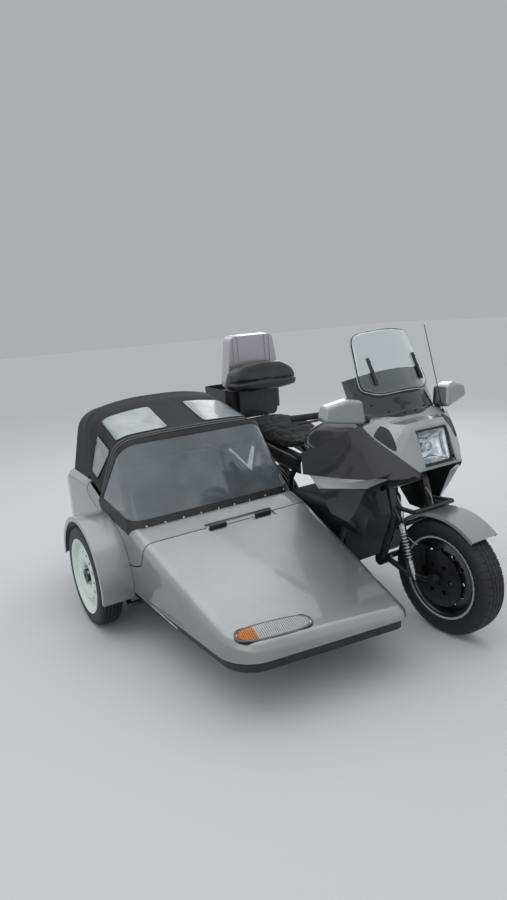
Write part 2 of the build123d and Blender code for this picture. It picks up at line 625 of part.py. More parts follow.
for x in hinge_places:
    start_x = x - hinge_length / 2
    end_x = x + hinge_length / 2
    leaf = block(start_x, end_x, lid_hinge_y - 5, lid_hinge_y + 3, lid_front_z - wall, lid_hinge_z)
    barrel = rod((start_x, lid_hinge_y, lid_hinge_z), (end_x, lid_hinge_y, lid_hinge_z), 6)
    hinges.append((leaf + barrel) - hull)
nodes["lid_hinges"] = Compound(children=hinges)
nodes["sidecar_lamp"] = lamp_place * Pos(0, 0, -lamp_depth) * extrude(SlotOverall(lamp_length, lamp_width), lamp_depth + 4)
rim_room = block(outer_x + 20, inner_x - 20, pillar_foot[0] - rim_clear, 1870, 560, 900)
nodes["sidecar_lid"] = (body & lid_inner) - rim_room - recess

pan_plan = offset(rounded(plan_points, plan_radii), -22)
pan_z = rail_z + rail_r + 0.3
nodes["sidecar_underside"] = Pos(0, 0, pan_z) * extrude(pan_plan, sill_z - 0.3 - pan_z)


# Windscreen: an arch joined to the cowl's edge by straight lines
def arch_face(origin, along, half_foot, half_top, height, radius):
    face = make_face(Polyline((-half_foot, 0), (half_foot, 0), (half_top, height), (-half_top, height), close=True))
    face = fillet(face.vertices().sort_by(Axis.Y)[-2:], radius)
    return Plane(origin=origin, x_dir=(1, 0, 0), z_dir=Vector(1, 0, 0).cross(Vector(*along))) * face


def lean(a, b):
    return (0, b[0] - a[0], b[1] - a[1])


def wind_block(inset, lift):
    foot = pillar_foot
    arch = arch_face((centre_x, foot[0] + 3 + lift, foot[1] + 6 + lift), lean(foot, pillar_top),
                     half_width - inset, arch_half_width - inset,
                     hypot(*lean(foot, pillar_top)[1:]) - inset, arch_corner_r - inset)
    front = (screen_foot_y - screen_skirt * 0.52, screen_foot_z - screen_skirt)
    low_foot = (foot[0] - 5 + lift, foot[1] + 0.2 - screen_skirt - lift)
    base = arch_face((centre_x, *low_foot), lean(low_foot, front), half_width - 4 - inset, half_width - 4 - inset,
                     hypot(*lean(low_foot, front)[1:]) - inset, 70 - inset)
    return loft([base, arch], ruled=True)


windscreen = wind_block(0, 0) - wind_block(glass, 2) - seat_shell
nodes["windscreen"] = windscreen
band = wind_block(-3.3, 0) - wind_block(-0.3, 2)
foot_plane = Plane(origin=(centre_x, *pillar_foot), x_dir=(1, 0, 0),
                   z_dir=Vector(1, 0, 0).cross(Vector(*lean((screen_foot_y, screen_foot_z), pillar_foot))))
low_band = band & foot_plane * Pos(0, 0, -15) * Box(1200, 1200, 92)
arch_plane = Plane(origin=(centre_x, *pillar_foot), x_dir=(1, 0, 0),
                   z_dir=Vector(1, 0, 0).cross(Vector(*lean(pillar_top, pillar_foot))))
arch_band = band & arch_plane * Pos(0, 0, 0) * Box(1200, 1200, 40)
nodes["windscreen_frame"] = (low_band + arch_band) - seat_shell - windscreen

# Soft top: bows from the windscreen arch back to the deck
# columns: foot y, foot z, top y, top z, half width at foot, half width at top, crown, corner radius
top_bows = [
    (1340, 662, 1112, 990, 468, 428, 12, 100),
    (1546, 741, 1500, 1124, 468, 432, 46, 110),
    (1600, 690, 1600, 1146, 468, 432, 50, 115),
    (1880, 690, 1740, 1118, 462, 420, 50, 110),
]


def top_block(inset):
    faces = []
    for row, (fy, fz, ty, tz, wf, wt, crown, r) in enumerate(top_bows):
        drop = inset * 2
        y = fy - (6 if inset and row == 0 else 0)
        height = hypot(ty - fy, tz - fz) - inset + drop
        flat = (wt - inset) * 0.42
        outline = [(-wf + inset, 0), (wf - inset, 0), (wt - inset, height - crown), (flat, height),
                   (-flat, height), (-wt + inset, height - crown)]
        face = rounded(outline, [0, 0, r - inset, 400, 400, r - inset])
        faces.append(Plane(origin=(centre_x, y, fz - drop), x_dir=(1, 0, 0),
                           z_dir=Vector(1, 0, 0).cross(Vector(0, ty - fy, tz - fz))) * face)
    return loft(faces, ruled=True)


nodes["soft_top"] = top_block(0) - top_block(6) - seat_shell

# Sidecar inside
floor_z = sill_z + wall + 0.3
nodes["sidecar_seat"] = (block(outer_x + 60, inner_x - 60, 1330, 1640, floor_z, 420)
                         + block(outer_x + 60, inner_x - 60, 1600, 1740, 420.0, 700))

fender_r = sidecar_tyre_r + 44
wing_in = outer_x - 0.3 - sidecar_wheel_x
wing = ring_band(sidecar_hub, fender_r, fender_r + 6, -66, wing_in, -10, 172)
wing_lip = ring_band(sidecar_hub, fender_r - 20, fender_r + 6, -66, -62, -10, 172)
nodes["sidecar_fender"] = (wing + wing_lip) - nodes["sidecar_hull"]

# Sidecar frame under the body, and its links to the motorcycle
rails = bar([(-430, 60, rail_z), (-330, 700, rail_z), (-330, 1900, rail_z)], rail_r)
rails = rails + bar([(-1050, 160, rail_z), (-1080, 800, rail_z), (-1080, 1900, rail_z)], rail_r)
for y in (300, 900, 1500, 1850):
    rails = rails + rod((-1080 + (18 if y < 500 else 0), y, rail_z), (-340, y, rail_z), 18)
links = bar([(-330, 700, rail_z), (-234, 700, rail_z), (-180, 700, 330)], 18)
links = links + bar([(-330, 1120, rail_z), (-234, 1120, rail_z), (-128, gearbox_back_y - 45, 480)], 18)
links = links + bar([(-330, 600, rail_z), (-232, 590, rail_z), (-232, 520, 350), (-158, 462, 645)], 14)
nodes["sidecar_frame"] = (rails + links) - nodes["engine"] - nodes["frame"]
arm_x = (sidecar_wheel_x + tyre_width / 2 - 5 + outer_x) / 2
arm = bar([(-1080, 940, rail_z), (arm_x, 960, rail_z - 6), (arm_x, sidecar_wheel_y, sidecar_tyre_r)], 13)
arm = arm + rod((arm_x + 10, sidecar_wheel_y, sidecar_tyre_r), (sidecar_wheel_x - 30, sidecar_wheel_y, sidecar_tyre_r), axle_r)
nodes["sidecar_arm"] = arm - nodes["sidecar_frame"]

# The frame's origin is the middle of the whole vehicle's plan, on the ground
boxes = [shape.bounding_box() for shape in nodes.values()]
middle_x = (min(box.min.X for box in boxes) + max(box.max.X for box in boxes)) / 2
middle_y = (min(box.min.Y for box in boxes) + max(box.max.Y for box in boxes)) / 2
lowest_z = min(box.min.Z for box in boxes)
print("origin moved by", -middle_x, -middle_y, -lowest_z)
for name, shape in nodes.items():
    export_step(Pos(-middle_x, -middle_y, -lowest_z) * shape, "parts/" + name + ".step")
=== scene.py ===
import bpy
import bmesh
from math import copysign, cos, hypot, pi, radians, sin, sqrt
from mathutils import Matrix, Vector, noise


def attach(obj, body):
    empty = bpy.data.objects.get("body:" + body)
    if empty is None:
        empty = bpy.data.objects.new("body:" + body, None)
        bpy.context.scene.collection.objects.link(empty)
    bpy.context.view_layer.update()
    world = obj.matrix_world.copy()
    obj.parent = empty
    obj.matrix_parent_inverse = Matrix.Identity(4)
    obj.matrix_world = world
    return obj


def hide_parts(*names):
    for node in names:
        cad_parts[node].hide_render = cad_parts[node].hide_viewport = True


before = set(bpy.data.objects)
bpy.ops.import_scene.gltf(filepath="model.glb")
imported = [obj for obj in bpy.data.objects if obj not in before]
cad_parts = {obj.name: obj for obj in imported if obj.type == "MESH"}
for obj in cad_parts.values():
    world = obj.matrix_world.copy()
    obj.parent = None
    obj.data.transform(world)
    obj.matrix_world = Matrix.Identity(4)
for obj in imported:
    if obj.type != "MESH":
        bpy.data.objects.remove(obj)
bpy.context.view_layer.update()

# Camera
# The picture was taken standing ahead of the sidecar's nose, on its outer side, with a phone's wide lens.
# Its place, aim and lens were worked out from the wheels, the lamps and the hull's corners.
image_height_px = 900
focal_px = 620.68
sensor_mm = 36
eye = Vector((-1.7369, -2.8376, 1.5676))
yaw, pitch, roll = 0.5472, 0.2136, -0.0766
ahead = Vector((sin(yaw) * cos(pitch), cos(yaw) * cos(pitch), -sin(pitch)))
level_right = Vector((cos(yaw), -sin(yaw), 0))
level_up = level_right.cross(ahead)
right = level_right * cos(roll) + level_up * sin(roll)
up = level_up * cos(roll) - level_right * sin(roll)
lens = bpy.data.cameras.new("camera")
lens.sensor_width = sensor_mm
lens.lens = focal_px / image_height_px * sensor_mm
camera = bpy.data.objects.new("camera", lens)
camera.matrix_world = Matrix((right, up, -ahead)).transposed().to_4x4()
camera.location = eye
bpy.context.collection.objects.link(camera)
bpy.context.scene.camera = camera
bpy.context.scene.view_settings.view_transform = "Standard"

# Helpers
# mm: the motorcycle's centre plane and its front axle in the part's frame
axle_x, axle_y = 461.99, -928.0
# degrees: edges no sharper than this are shaded smooth
smooth_angle = 32


def linear(hex_colour):
    """An sRGB hex colour as linear values, opaque."""
    parts = [int(hex_colour[k:k + 2], 16) / 255 for k in (1, 3, 5)]
    return (*[p / 12.92 if p <= 0.04045 else ((p + 0.055) / 1.055) ** 2.4 for p in parts], 1.0)


def add_node(tree, kind, values=None, links=None, **settings):
    """Adds one node: its settings, the values of its sockets, and the links into it."""
    new = tree.nodes.new(kind)
    for name, value in settings.items():
        setattr(new, name, value)
    for name, value in (values or {}).items():
        new.inputs[name].default_value = value
    for name, source in (links or {}).items():
        tree.links.new(source, new.inputs[name])
    return new


def start_material(name, colour, **sockets):
    """A new material; each word sets the shader socket of that name, with spaces for underscores."""
    material = bpy.data.materials.new(name)
    material.use_nodes = True
    tree = material.node_tree
    shader = tree.nodes["Principled BSDF"]
    shader.inputs["Base Color"].default_value = linear(colour)
    for socket, value in sockets.items():
        shader.inputs[socket.replace("_", " ")].default_value = value
    return material, tree, shader


def two_tones(tree, shader, share, dark, light):
    """Colours a material between two tones by an output that runs from 0 to 1."""
    ramp = add_node(tree, "ShaderNodeValToRGB", links={"Fac": share})
    for element, position, colour in zip(ramp.color_ramp.elements, (0.35, 0.65), (dark, light)):
        element.position = position
        element.color = linear(colour)
    tree.links.new(ramp.outputs["Color"], shader.inputs["Base Color"])


def mottle(tree, shader, size_mm, dark, light):
    """Colours a material between two tones by a noise of that size, and returns the noise."""
    where = add_node(tree, "ShaderNodeTexCoord")
    cloud = add_node(tree, "ShaderNodeTexNoise", {"Scale": 1000 / size_mm, "Detail": 3.0},
                     {"Vector": where.outputs["Object"]})
    two_tones(tree, shader, cloud.outputs["Fac"], dark, light)
    return cloud


def grained(tree, shader, size_mm, depth_mm, strength=0.4, kind="ShaderNodeTexNoise", output="Fac"):
    """Gives a material a fine relief of that size and depth."""
    where = add_node(tree, "ShaderNodeTexCoord")
    grain = add_node(tree, kind, {"Scale": 1000 / size_mm}, {"Vector": where.outputs["Object"]})
    bump = add_node(tree, "ShaderNodeBump", {"Strength": strength, "Distance": depth_mm / 1000},
                    {"Height": grain.outputs[output]})
    tree.links.new(bump.outputs["Normal"], shader.inputs["Normal"])


def dress(material, *nodes):
    """Gives CAD nodes this material."""
    for name in nodes:
        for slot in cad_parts[name].material_slots:
            slot.link = "OBJECT"
            slot.material = material


def place(x, y, z):
    """A point given in mm from the motorcycle's centre plane, its front axle and the ground."""
    return Vector((x + axle_x, y + axle_y, z)) / 1000


def signed_power(value, power):
    """The power of a value's size, with the value's sign."""
    return copysign(abs(value) ** power, value)


def new_piece(name, mesh, material, body, smooth=True):
    """A mesh becomes a piece that rides a body."""
    piece = bpy.data.objects.new(name, mesh)
    bpy.context.collection.objects.link(piece)
    mesh.materials.append(material)
    for polygon in mesh.polygons:
        polygon.use_smooth = smooth
    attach(piece, body)
    return piece


def thicken(piece, mm):
    """Gives a sheet its thickness, half to each side."""
    wall = piece.modifiers.new("wall", "SOLIDIFY")
    wall.thickness = mm / 1000
    wall.offset = 0


def grid_piece(name, point, columns, rows, material, body, closed=False):
    """A piece from a grid: point(u, v) gives mm, with u and v from 0 to 1; closed joins u = 1 to u = 0."""
    across = columns if closed else columns + 1
    spots = [place(*point(c / columns, r / rows)) for r in range(rows + 1) for c in range(across)]
    faces = [(r * across + c, r * across + (c + 1) % across, (r + 1) * across + (c + 1) % across,
              (r + 1) * across + c) for r in range(rows) for c in range(columns)]
    mesh = bpy.data.meshes.new(name)
    mesh.from_pydata(spots, [], faces)
    work = bmesh.new()
    work.from_mesh(mesh)
    bmesh.ops.remove_doubles(work, verts=work.verts, dist=1e-5)
    bmesh.ops.recalc_face_normals(work, faces=work.faces)
    work.to_mesh(mesh)
    work.free()
    return new_piece(name, mesh, material, body)


def bend(start, here, end, steps):
    """Points of a corner rounded from start to end, with here as its tip."""
    shares = [step / steps for step in range(steps + 1)]
    return [start * (1 - t) ** 2 + here * 2 * t * (1 - t) + end * t * t for t in shares]


def rounded(points, radius):
    """A closed outline with rounded corners and points about 14 mm apart or closer."""
    corners = []
    for k, here in enumerate(points):
        here = Vector(here)
        back = Vector(points[k - 1]) - here
        forth = Vector(points[(k + 1) % len(points)]) - here
        cut = min(radius, back.length * 0.48, forth.length * 0.48)
        corners += bend(here + back.normalized() * cut, here, here + forth.normalized() * cut, 6)
    line = []
    for here, there in zip(corners, corners[1:] + corners[:1]):
        steps = max(1, int((there - here).length / 14))
        line.extend(here.lerp(there, step / steps) for step in range(steps))
    return [tuple(spot) for spot in line]


def patch_piece(name, outline, surface, material, body, rings=8):
    """A piece that fills an outline of two numbers, laid on a surface(a, b) that gives mm."""
    middle = sum((Vector(p) for p in outline), Vector((0, 0))) / len(outline)
    spots, faces, count = [], [], len(outline)
    for ring in range(rings):
        for p in outline:
            spots.append(place(*surface(*middle.lerp(Vector(p), 1 - ring / rings))))
    spots.append(place(*surface(*middle)))
    for ring in range(rings - 1):
        for k in range(count):
            there = (k + 1) % count
            outer, inner = ring * count, (ring + 1) * count
            faces.append((outer + k, outer + there, inner + there, inner + k))
    last = (rings - 1) * count
    faces.extend((last + k, last + (k + 1) % count, rings * count) for k in range(count))
    mesh = bpy.data.meshes.new(name)
    mesh.from_pydata(spots, [], faces)
    return new_piece(name, mesh, material, body)


def tube_piece(name, points, radius, material, body, closed=False):
    """A round tube or cord along points in mm, on one smooth curve."""
    curve = bpy.data.curves.new(name, "CURVE")
    curve.dimensions = "3D"
    curve.bevel_depth = radius / 1000
    curve.bevel_resolution = 3
    curve.resolution_u = 6
    curve.use_fill_caps = True
    spline = curve.splines.new("NURBS")
    spline.points.add(len(points) - 1)
    for spot, p in zip(spline.points, points):
        spot.co = (*place(*p), 1)
    spline.order_u = 3
    spline.use_cyclic_u = closed
    spline.use_endpoint_u = not closed
    piece = bpy.data.objects.new(name, curve)
    bpy.context.collection.objects.link(piece)
    curve.materials.append(material)
    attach(piece, body)


def stud_piece(name, spots, radius, height, sides, material, body):
    """Screws, studs or nuts as one piece; spots gives each one's foot in mm and the way it points."""
    verts, faces = [], []
    for foot, way in spots:
        way = Vector(way).normalized()
        side = way.orthogonal().normalized()
        other = way.cross(side)
        start = len(verts)
        for share, lift in ((1.0, -0.6), (1.0, 0.55), (0.78, 0.9), (0.4, 1.0)):
            for k in range(sides):
                turn = 2 * pi * k / sides
                spot = (side * cos(turn) + other * sin(turn)) * radius * share + way * height * lift
                verts.append(place(*(Vector(foot) + spot)))
        for ring in range(3):
            for k in range(sides):
                low, high = start + ring * sides, start + (ring + 1) * sides
                faces.append((low + k, low + (k + 1) % sides, high + (k + 1) % sides, high + k))
        faces.append([start + 3 * sides + k for k in range(sides)])
    mesh = bpy.data.meshes.new(name)
    mesh.from_pydata(verts, [], faces)
    new_piece(name, mesh, material, body, smooth=sides > 8)


def read(table, at):
    """Reads a table of (place, value) rows between its rows."""
    for (a, low), (b, high) in zip(table, table[1:]):
        if at <= b:
            t = max(0.0, (at - a) / (b - a))
            t = t * t * (3 - 2 * t)
            return low + (high - low) * t
    return table[-1][1]


def soften(edge_mm, bevel_angle, *nodes):
    """Draws CAD nodes with smooth faces, and rounds edges sharper than bevel_angle by edge_mm."""
    group = bpy.data.node_groups.get("smooth_faces")
    if group is None:
        group = bpy.data.node_groups.new("smooth_faces", "GeometryNodeTree")
        group.interface.new_socket("Geometry", in_out="INPUT", socket_type="NodeSocketGeometry")
        group.interface.new_socket("Geometry", in_out="OUTPUT", socket_type="NodeSocketGeometry")
        given = group.nodes.new("NodeGroupInput")
        plain = add_node(group, "GeometryNodeRemoveAttribute", {"Name": "custom_normal"},
                         {"Geometry": given.outputs[0]})
        edge = add_node(group, "GeometryNodeInputMeshEdgeAngle")
        flat = add_node(group, "FunctionNodeCompare", {"B": radians(smooth_angle)},
                        {"A": edge.outputs["Unsigned Angle"]}, data_type="FLOAT", operation="LESS_EQUAL")
        edges = add_node(group, "GeometryNodeSetShadeSmooth",
                         links={"Geometry": plain.outputs[0], "Shade Smooth": flat.outputs[0]}, domain="EDGE")
        faces = add_node(group, "GeometryNodeSetShadeSmooth", links={"Geometry": edges.outputs[0]},
                         domain="FACE")
        add_node(group, "NodeGroupOutput", links={0: faces.outputs[0]})
    for name in nodes:
        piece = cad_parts[name]
        weld = piece.modifiers.new("weld", "WELD")
        weld.merge_threshold = 0.00005
        if edge_mm:
            bevel = piece.modifiers.new("edges", "BEVEL")
            bevel.width = edge_mm / 1000
            bevel.segments = 2
            bevel.limit_method = "ANGLE"
            bevel.angle_limit = radians(bevel_angle)
        smooth = piece.modifiers.new("smooth", "NODES")
        smooth.node_group = group
        weighted = piece.modifiers.new("weighted", "WEIGHTED_NORMAL")
        weighted.keep_sharp = True


# Floor and light
# A pale studio floor and sky, one large soft lamp overhead as under a cloudy sky, and two weaker ones
# beside it, so that the panels' shoulders carry soft reflections.
floor_colour = "#c3c4c5"
sky_colour = "#e6eaed"
sky_strength = 0.95
floor_half = 40
lamp_aim = Vector((0, 0, 0.5))
floor_material =start_material("studio_floor", floor_colour, Roughness=0.9)[0]
floor_mesh = bpy.data.meshes.new("floor")
floor_mesh.from_pydata([(-floor_half, -floor_half, 0), (floor_half, -floor_half, 0),
                        (floor_half, floor_half, 0), (-floor_half, floor_half, 0)], [], [(0, 1, 2, 3)])
floor = bpy.data.objects.new("floor", floor_mesh)
bpy.context.collection.objects.link(floor)
floor_mesh.materials.append(floor_material)

world = bpy.data.worlds.new("sky")
bpy.context.scene.world = world
world.use_nodes = True
sky = world.node_tree.nodes["Background"]
rays = add_node(world.node_tree, "ShaderNodeLightPath")
tone = add_node(world.node_tree, "ShaderNodeMix", links={"Factor": rays.outputs["Is Camera Ray"]},
                data_type="RGBA")
tone.inputs[6].default_value = linear(sky_colour)
tone.inputs[7].default_value = [s * f for s, f in zip(linear(sky_colour), linear(floor_colour))]
world.node_tree.links.new(tone.outputs[2], sky.inputs["Color"])
sky.inputs["Strength"].default_value = sky_strength

# columns: name, place in metres, side in metres, power in watts
lamps = [
    ("overhead_lamp", (-0.4, 0.6, 5.0), 7.0, 120),
    ("front_lamp", (-4.2, -4.0, 2.8), 3.5, 22),
    ("rear_lamp", (3.6, 3.4, 3.0), 3.0, 40),
]
for name, spot, side, power in lamps:
    light = bpy.data.lights.new(name, "AREA")
    light.size = side
    light.energy = power
    lamp = bpy.data.objects.new(name, light)
    lamp.location = spot
    lamp.rotation_euler = (lamp_aim - Vector(spot)).to_track_quat("-Z", "Y").to_euler()
    bpy.context.collection.objects.link(lamp)

# Painted bodywork
# Glass-fibre and ABS panels in one silver-grey metallic paint under clear lacquer, with fine aluminium
# flake. It is a little dusty, and rain stands on it in small round drops.
flake_mm = 0.9
drop_mm = 13
drop_height_mm = 0.9


def metallic_paint(name, dark, light, drops=False, **sockets):
    """Lacquered metallic paint between two tones, with rain drops on what faces up."""
    material, tree, shader = start_material(name, light, Metallic=0.78, Coat_Weight=0.9, Coat_Roughness=0.05,
                                            **sockets)
    where = add_node(tree, "ShaderNodeTexCoord")
    flake = add_node(tree, "ShaderNodeTexNoise", {"Scale": 1000 / flake_mm, "Detail": 1.0},
                     {"Vector": where.outputs["Object"]})
    cloud = add_node(tree, "ShaderNodeTexNoise", {"Scale": 3.0, "Detail": 3.0},
                     {"Vector": where.outputs["Object"]})
    both_tones = add_node(tree, "ShaderNodeMix", {"Factor": 0.5},
                          {"A": flake.outputs["Fac"], "B": cloud.outputs["Fac"]}, data_type="FLOAT")
    two_tones(tree, shader, both_tones.outputs["Result"], dark, light)
    if drops:
        cell = add_node(tree, "ShaderNodeTexVoronoi", {"Scale": 1000 / drop_mm, "Randomness": 1.0},
                        {"Vector": where.outputs["Object"]})
        dome = add_node(tree, "ShaderNodeMapRange", {"From Max": 0.24, "To Min": 1.0, "To Max": 0.0},
                        {"Value": cell.outputs["Distance"]}, interpolation_type="SMOOTHSTEP")
        face = add_node(tree, "ShaderNodeNewGeometry")
        parts = add_node(tree, "ShaderNodeSeparateXYZ", links={"Vector": face.outputs["Normal"]})
        wet = add_node(tree, "ShaderNodeMapRange", {"From Min": 0.55, "From Max": 0.8},
                       {"Value": parts.outputs["Z"]})
        bead = add_node(tree, "ShaderNodeMath", links={0: dome.outputs["Result"], 1: wet.outputs["Result"]},
                        operation="MULTIPLY")
        bump = add_node(tree, "ShaderNodeBump", {"Strength": 0.55, "Distance": drop_height_mm / 1000},
                        {"Height": bead.outputs[0]})
        tree.links.new(bump.outputs["Normal"], shader.inputs["Coat Normal"])
        tree.links.new(bump.outputs["Normal"], shader.inputs["Normal"])
    return material


silver_paint = metallic_paint("silver_metallic_paint", "#898b8d", "#9c9fa0", drops=True, Roughness=0.38)
shaded_paint = metallic_paint("charcoal_metallic_paint", "#474546", "#545254", Roughness=0.4)
lid_paint = metallic_paint("pale_lid_paint", "#a5a2a8", "#b7b3b9", drops=True, Roughness=0.42)
charcoal_paint_with_painted_reflection = metallic_paint("charcoal_paint_with_painted_sky_reflection", "#323132", "#3c3b3c", Roughness=0.42)
tree = charcoal_paint_with_painted_reflection.node_tree
shader = tree.nodes["Principled BSDF"]
# Faces that look upward, the fairing's top ledge, are turned pale: this is a painted reflection of the bright
# sky on that ledge, not a colour of the paint.
face = add_node(tree, "ShaderNodeNewGeometry")
parts = add_node(tree, "ShaderNodeSeparateXYZ", links={"Vector": face.outputs["Normal"]})
sky_reflection_share = add_node(tree, "ShaderNodeMapRange", {"From Min": 0.3, "From Max": 0.42},
                 {"Value": parts.outputs["Z"]})
paint_and_reflection = add_node(tree, "ShaderNodeMix", links={"Factor": sky_reflection_share.outputs["Result"]}, data_type="RGBA")
tree.links.new(shader.inputs["Base Color"].links[0].from_socket, paint_and_reflection.inputs[6])
paint_and_reflection.inputs[7].default_value = linear("#a09fa3")
tree.links.new(paint_and_reflection.outputs[2], shader.inputs["Base Color"])
dress(silver_paint, "nose_fairing", "front_fender", "sidecar_hull", "sidecar_lid", "sidecar_fender",
      "mirrors")
dress(shaded_paint, "side_fairings", "fuel_tank", "tail_cover")
dress(charcoal_paint_with_painted_reflection, "lower_fairings")
dress(lid_paint, "topcase_lid")
soften(2.0, 32, "sidecar_hull", "sidecar_lid", "front_fender", "sidecar_fender", "topcase_lid")
soften(5.0, 24, "mirrors", "nose_fairing", "side_fairings", "lower_fairings")
soften(0, 32, "fuel_tank", "tail_cover")

# Black metal
# Frame tubes, fork, swing arm and brackets in black enamel over steel, a little dulled by road dust.
black_enamel, tree, shader = start_material("black_enamel", "#151516", Roughness=0.36, Coat_Weight=0.3)
dust = mottle(tree, shader, 30, "#101011", "#232324")
dust_rough = add_node(tree, "ShaderNodeMapRange", {"To Min": 0.26, "To Max": 0.55},
                      {"Value": dust.outputs["Fac"]})
tree.links.new(dust_rough.outputs["Result"], shader.inputs["Roughness"])
enamelled = ["fork", "leading_link", "frame", "rear_arm", "luggage_rack", "sidecar_frame", "sidecar_arm",
             "handlebar", "backrest_stand", "lid_hinges"]
dress(black_enamel, *enamelled, "radiator")
soften(1.5, 32, *enamelled)

# Black plastics and rubber
# Moulded ABS and polypropylene: stems, clamps, dashboard, case tray and the tub's underside; rubber grips.
black_plastic, tree, shader = start_material("black_moulded_plastic", "#19191a", Roughness=0.48)
mottle(tree, shader, 40, "#141415", "#222223")
grained(tree, shader, 1.2, 0.3)
dress(black_plastic, "screen_clamps", "mirror_stems", "dashboard", "sidecar_underside", "topcase_base",
      "windscreen_frame", "antenna")
rubber, tree, shader = start_material("black_rubber", "#161617", Roughness=0.75)
mottle(tree, shader, 25, "#101011", "#1d1d1e")
grained(tree, shader, 5, 0.8, 0.5, "ShaderNodeTexVoronoi", "Distance")
dress(rubber, "grips")
soften(1.5, 32, "screen_clamps", "mirror_stems", "dashboard", "sidecar_underside", "topcase_base",
       "windscreen_frame", "grips")

# Bright metals
# Chromed spring units, ground steel brake discs, sand-cast alloy and a heat-stained exhaust.
chrome, tree, shader = start_material("chromed_steel", "#b9babb", Metallic=1.0, Roughness=0.2)
mottle(tree, shader, 12, "#8f9091", "#c6c7c8")
dress(chrome, "fork_shocks", "rear_shock")
brushed, tree, shader = start_material("ground_steel", "#58585a", Metallic=1.0, Roughness=0.38)
mottle(tree, shader, 60, "#505052", "#606062")
dress(brushed, "front_discs")
stained, tree, shader = start_material("stained_exhaust_steel", "#8a8580", Metallic=1.0, Roughness=0.38)
mottle(tree, shader, 60, "#6a625a", "#9b9894")
dress(stained, "silencer", "exhaust_pipes")
alloy, tree, shader = start_material("cast_alloy", "#3f4043", Metallic=0.9, Roughness=0.55)
mottle(tree, shader, 120, "#38393c", "#454649")
grained(tree, shader, 2.0, 0.3)
dress(alloy, "engine", "front_calipers", "levers")
soften(0, 32, "fork_shocks", "rear_shock", "front_discs", "exhaust_pipes")
soften(2.0, 32, "silencer", "engine", "front_calipers", "levers")

# Wheels
# Pressed steel: gloss black with a bright rim lip and a bright ring of nuts on the motorcycle, and pale
# green-white enamel with a dark hub on the sidecar. Tones change with the distance from the axle.
band_reach_mm = 250


def wheel_enamel(name, hub, bands, **sockets):
    """Enamel whose colour changes at given distances in mm from the axle through hub."""
    material, tree, shader = start_material(name, bands[0][1], **sockets)
    where = add_node(tree, "ShaderNodeTexCoord")
    offset = add_node(tree, "ShaderNodeVectorMath", links={0: where.outputs["Object"]}, operation="SUBTRACT")
    offset.inputs[1].default_value = place(*hub)
    flat = add_node(tree, "ShaderNodeVectorMath", links={0: offset.outputs["Vector"]}, operation="MULTIPLY")
    flat.inputs[1].default_value = (0, 1, 1)
    reach = add_node(tree, "ShaderNodeVectorMath", links={0: flat.outputs["Vector"]}, operation="LENGTH")
    share = add_node(tree, "ShaderNodeMath", {1: band_reach_mm / 1000}, {0: reach.outputs["Value"]},
                     operation="DIVIDE")
    ramp = add_node(tree, "ShaderNodeValToRGB", links={"Fac": share.outputs[0]})
    ramp.color_ramp.interpolation = "CONSTANT"
    elements = ramp.color_ramp.elements
    for k, (start_mm, colour) in enumerate(bands):
        band = elements[k] if k < 2 else elements.new(start_mm / band_reach_mm)
        band.position = start_mm / band_reach_mm
        band.color = linear(colour)
    tree.links.new(ramp.outputs["Color"], shader.inputs["Base Color"])
    grained(tree, shader, 6, 0.15, 0.3)
    return material


front_hub, rear_hub, sidecar_hub = (0, 0, 284), (0, 1500, 288), (-1334, 1248, 275)
# columns: first radius in mm, colour
black_bands = [(0, "#17171a"), (41, "#a9abad"), (59, "#17171a"), (193, "#9b9d9f")]
pale_bands = [(0, "#1c1d1e"), (38, "#c9d3cd"), (42, "#9fa6a2"), (58, "#cdd6d0"), (196, "#dfe5e1")]
for name, hub, node in (("black_front_wheel", front_hub, "front_wheel"),
                        ("black_rear_wheel", rear_hub, "rear_wheel")):
    dress(wheel_enamel(name, hub, black_bands, Roughness=0.3, Coat_Weight=0.5), node)
dress(wheel_enamel("pale_sidecar_wheel", sidecar_hub, pale_bands, Roughness=0.38), "sidecar_wheel")
soften(0, 32, "front_wheel", "rear_wheel", "sidecar_wheel")

# Tyres
# Radial car tyres on all three wheels. Four grooves run round the tread, and cross grooves part its
# shoulders into blocks; fine sipes cross the middle ribs. The rubber is wet and dark.
tyre_rubber, tree, shader = start_material("tyre_rubber", "#161617", Roughness=0.55)
mottle(tree, shader, 60, "#131314", "#1a1a1b")
tread_columns = 480
block_columns = 10
cross_groove_mm, sipe_mm = 5.5, 3.0
tread_half_width = 67
# columns: distance from the middle and depth below the crown, in mm, on a tyre of that half width
tread_half = [(0.0, 0.0), (7.0, 0.0), (8.0, 9.0), (14.5, 9.0), (15.5, 0.3), (26.0, 0.9), (27.0, 9.5),
              (33.5, 9.5), (34.5, 1.6), (44.0, 3.0), (50.0, 5.6), (56.0, 10.0), (60.5, 16.0), (64.0, 26.0),
              (66.4, 40.0), (67.0, 52.0), (66.0, 64.0), (63.5, 73.0), (61.0, 77.0), (58.0, 80.0)]


def tyre_piece(name, hub, radius, half, node, body):
    """A tyre with tread; the profile is scaled to its width."""
    wide = half / tread_half_width
    side = [(across * wide, depth) for across, depth in tread_half]
    profile = [(-across, depth) for across, depth in reversed(side[1:])] + side

    def skin(u, v):
        column = int(round(u * tread_columns)) % tread_columns
        across, depth = profile[int(round(v * (len(profile) - 1)))]
        drop = 0.0
        if column % block_columns == 0 and 33 * wide < abs(across) < 62 * wide:
            drop = cross_groove_mm
        if column % block_columns == 5 and abs(across) < 27.5 * wide and depth < 2:
            drop = sipe_mm
        turn = 2 * pi * u
        reach = radius - 0.4 - depth - drop
        return hub[0] + across, hub[1] + reach * cos(turn), hub[2] + reach * sin(turn)

    piece = grid_piece(name, skin, tread_columns, len(profile) - 1, tyre_rubber, body, closed=True)
    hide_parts(node)


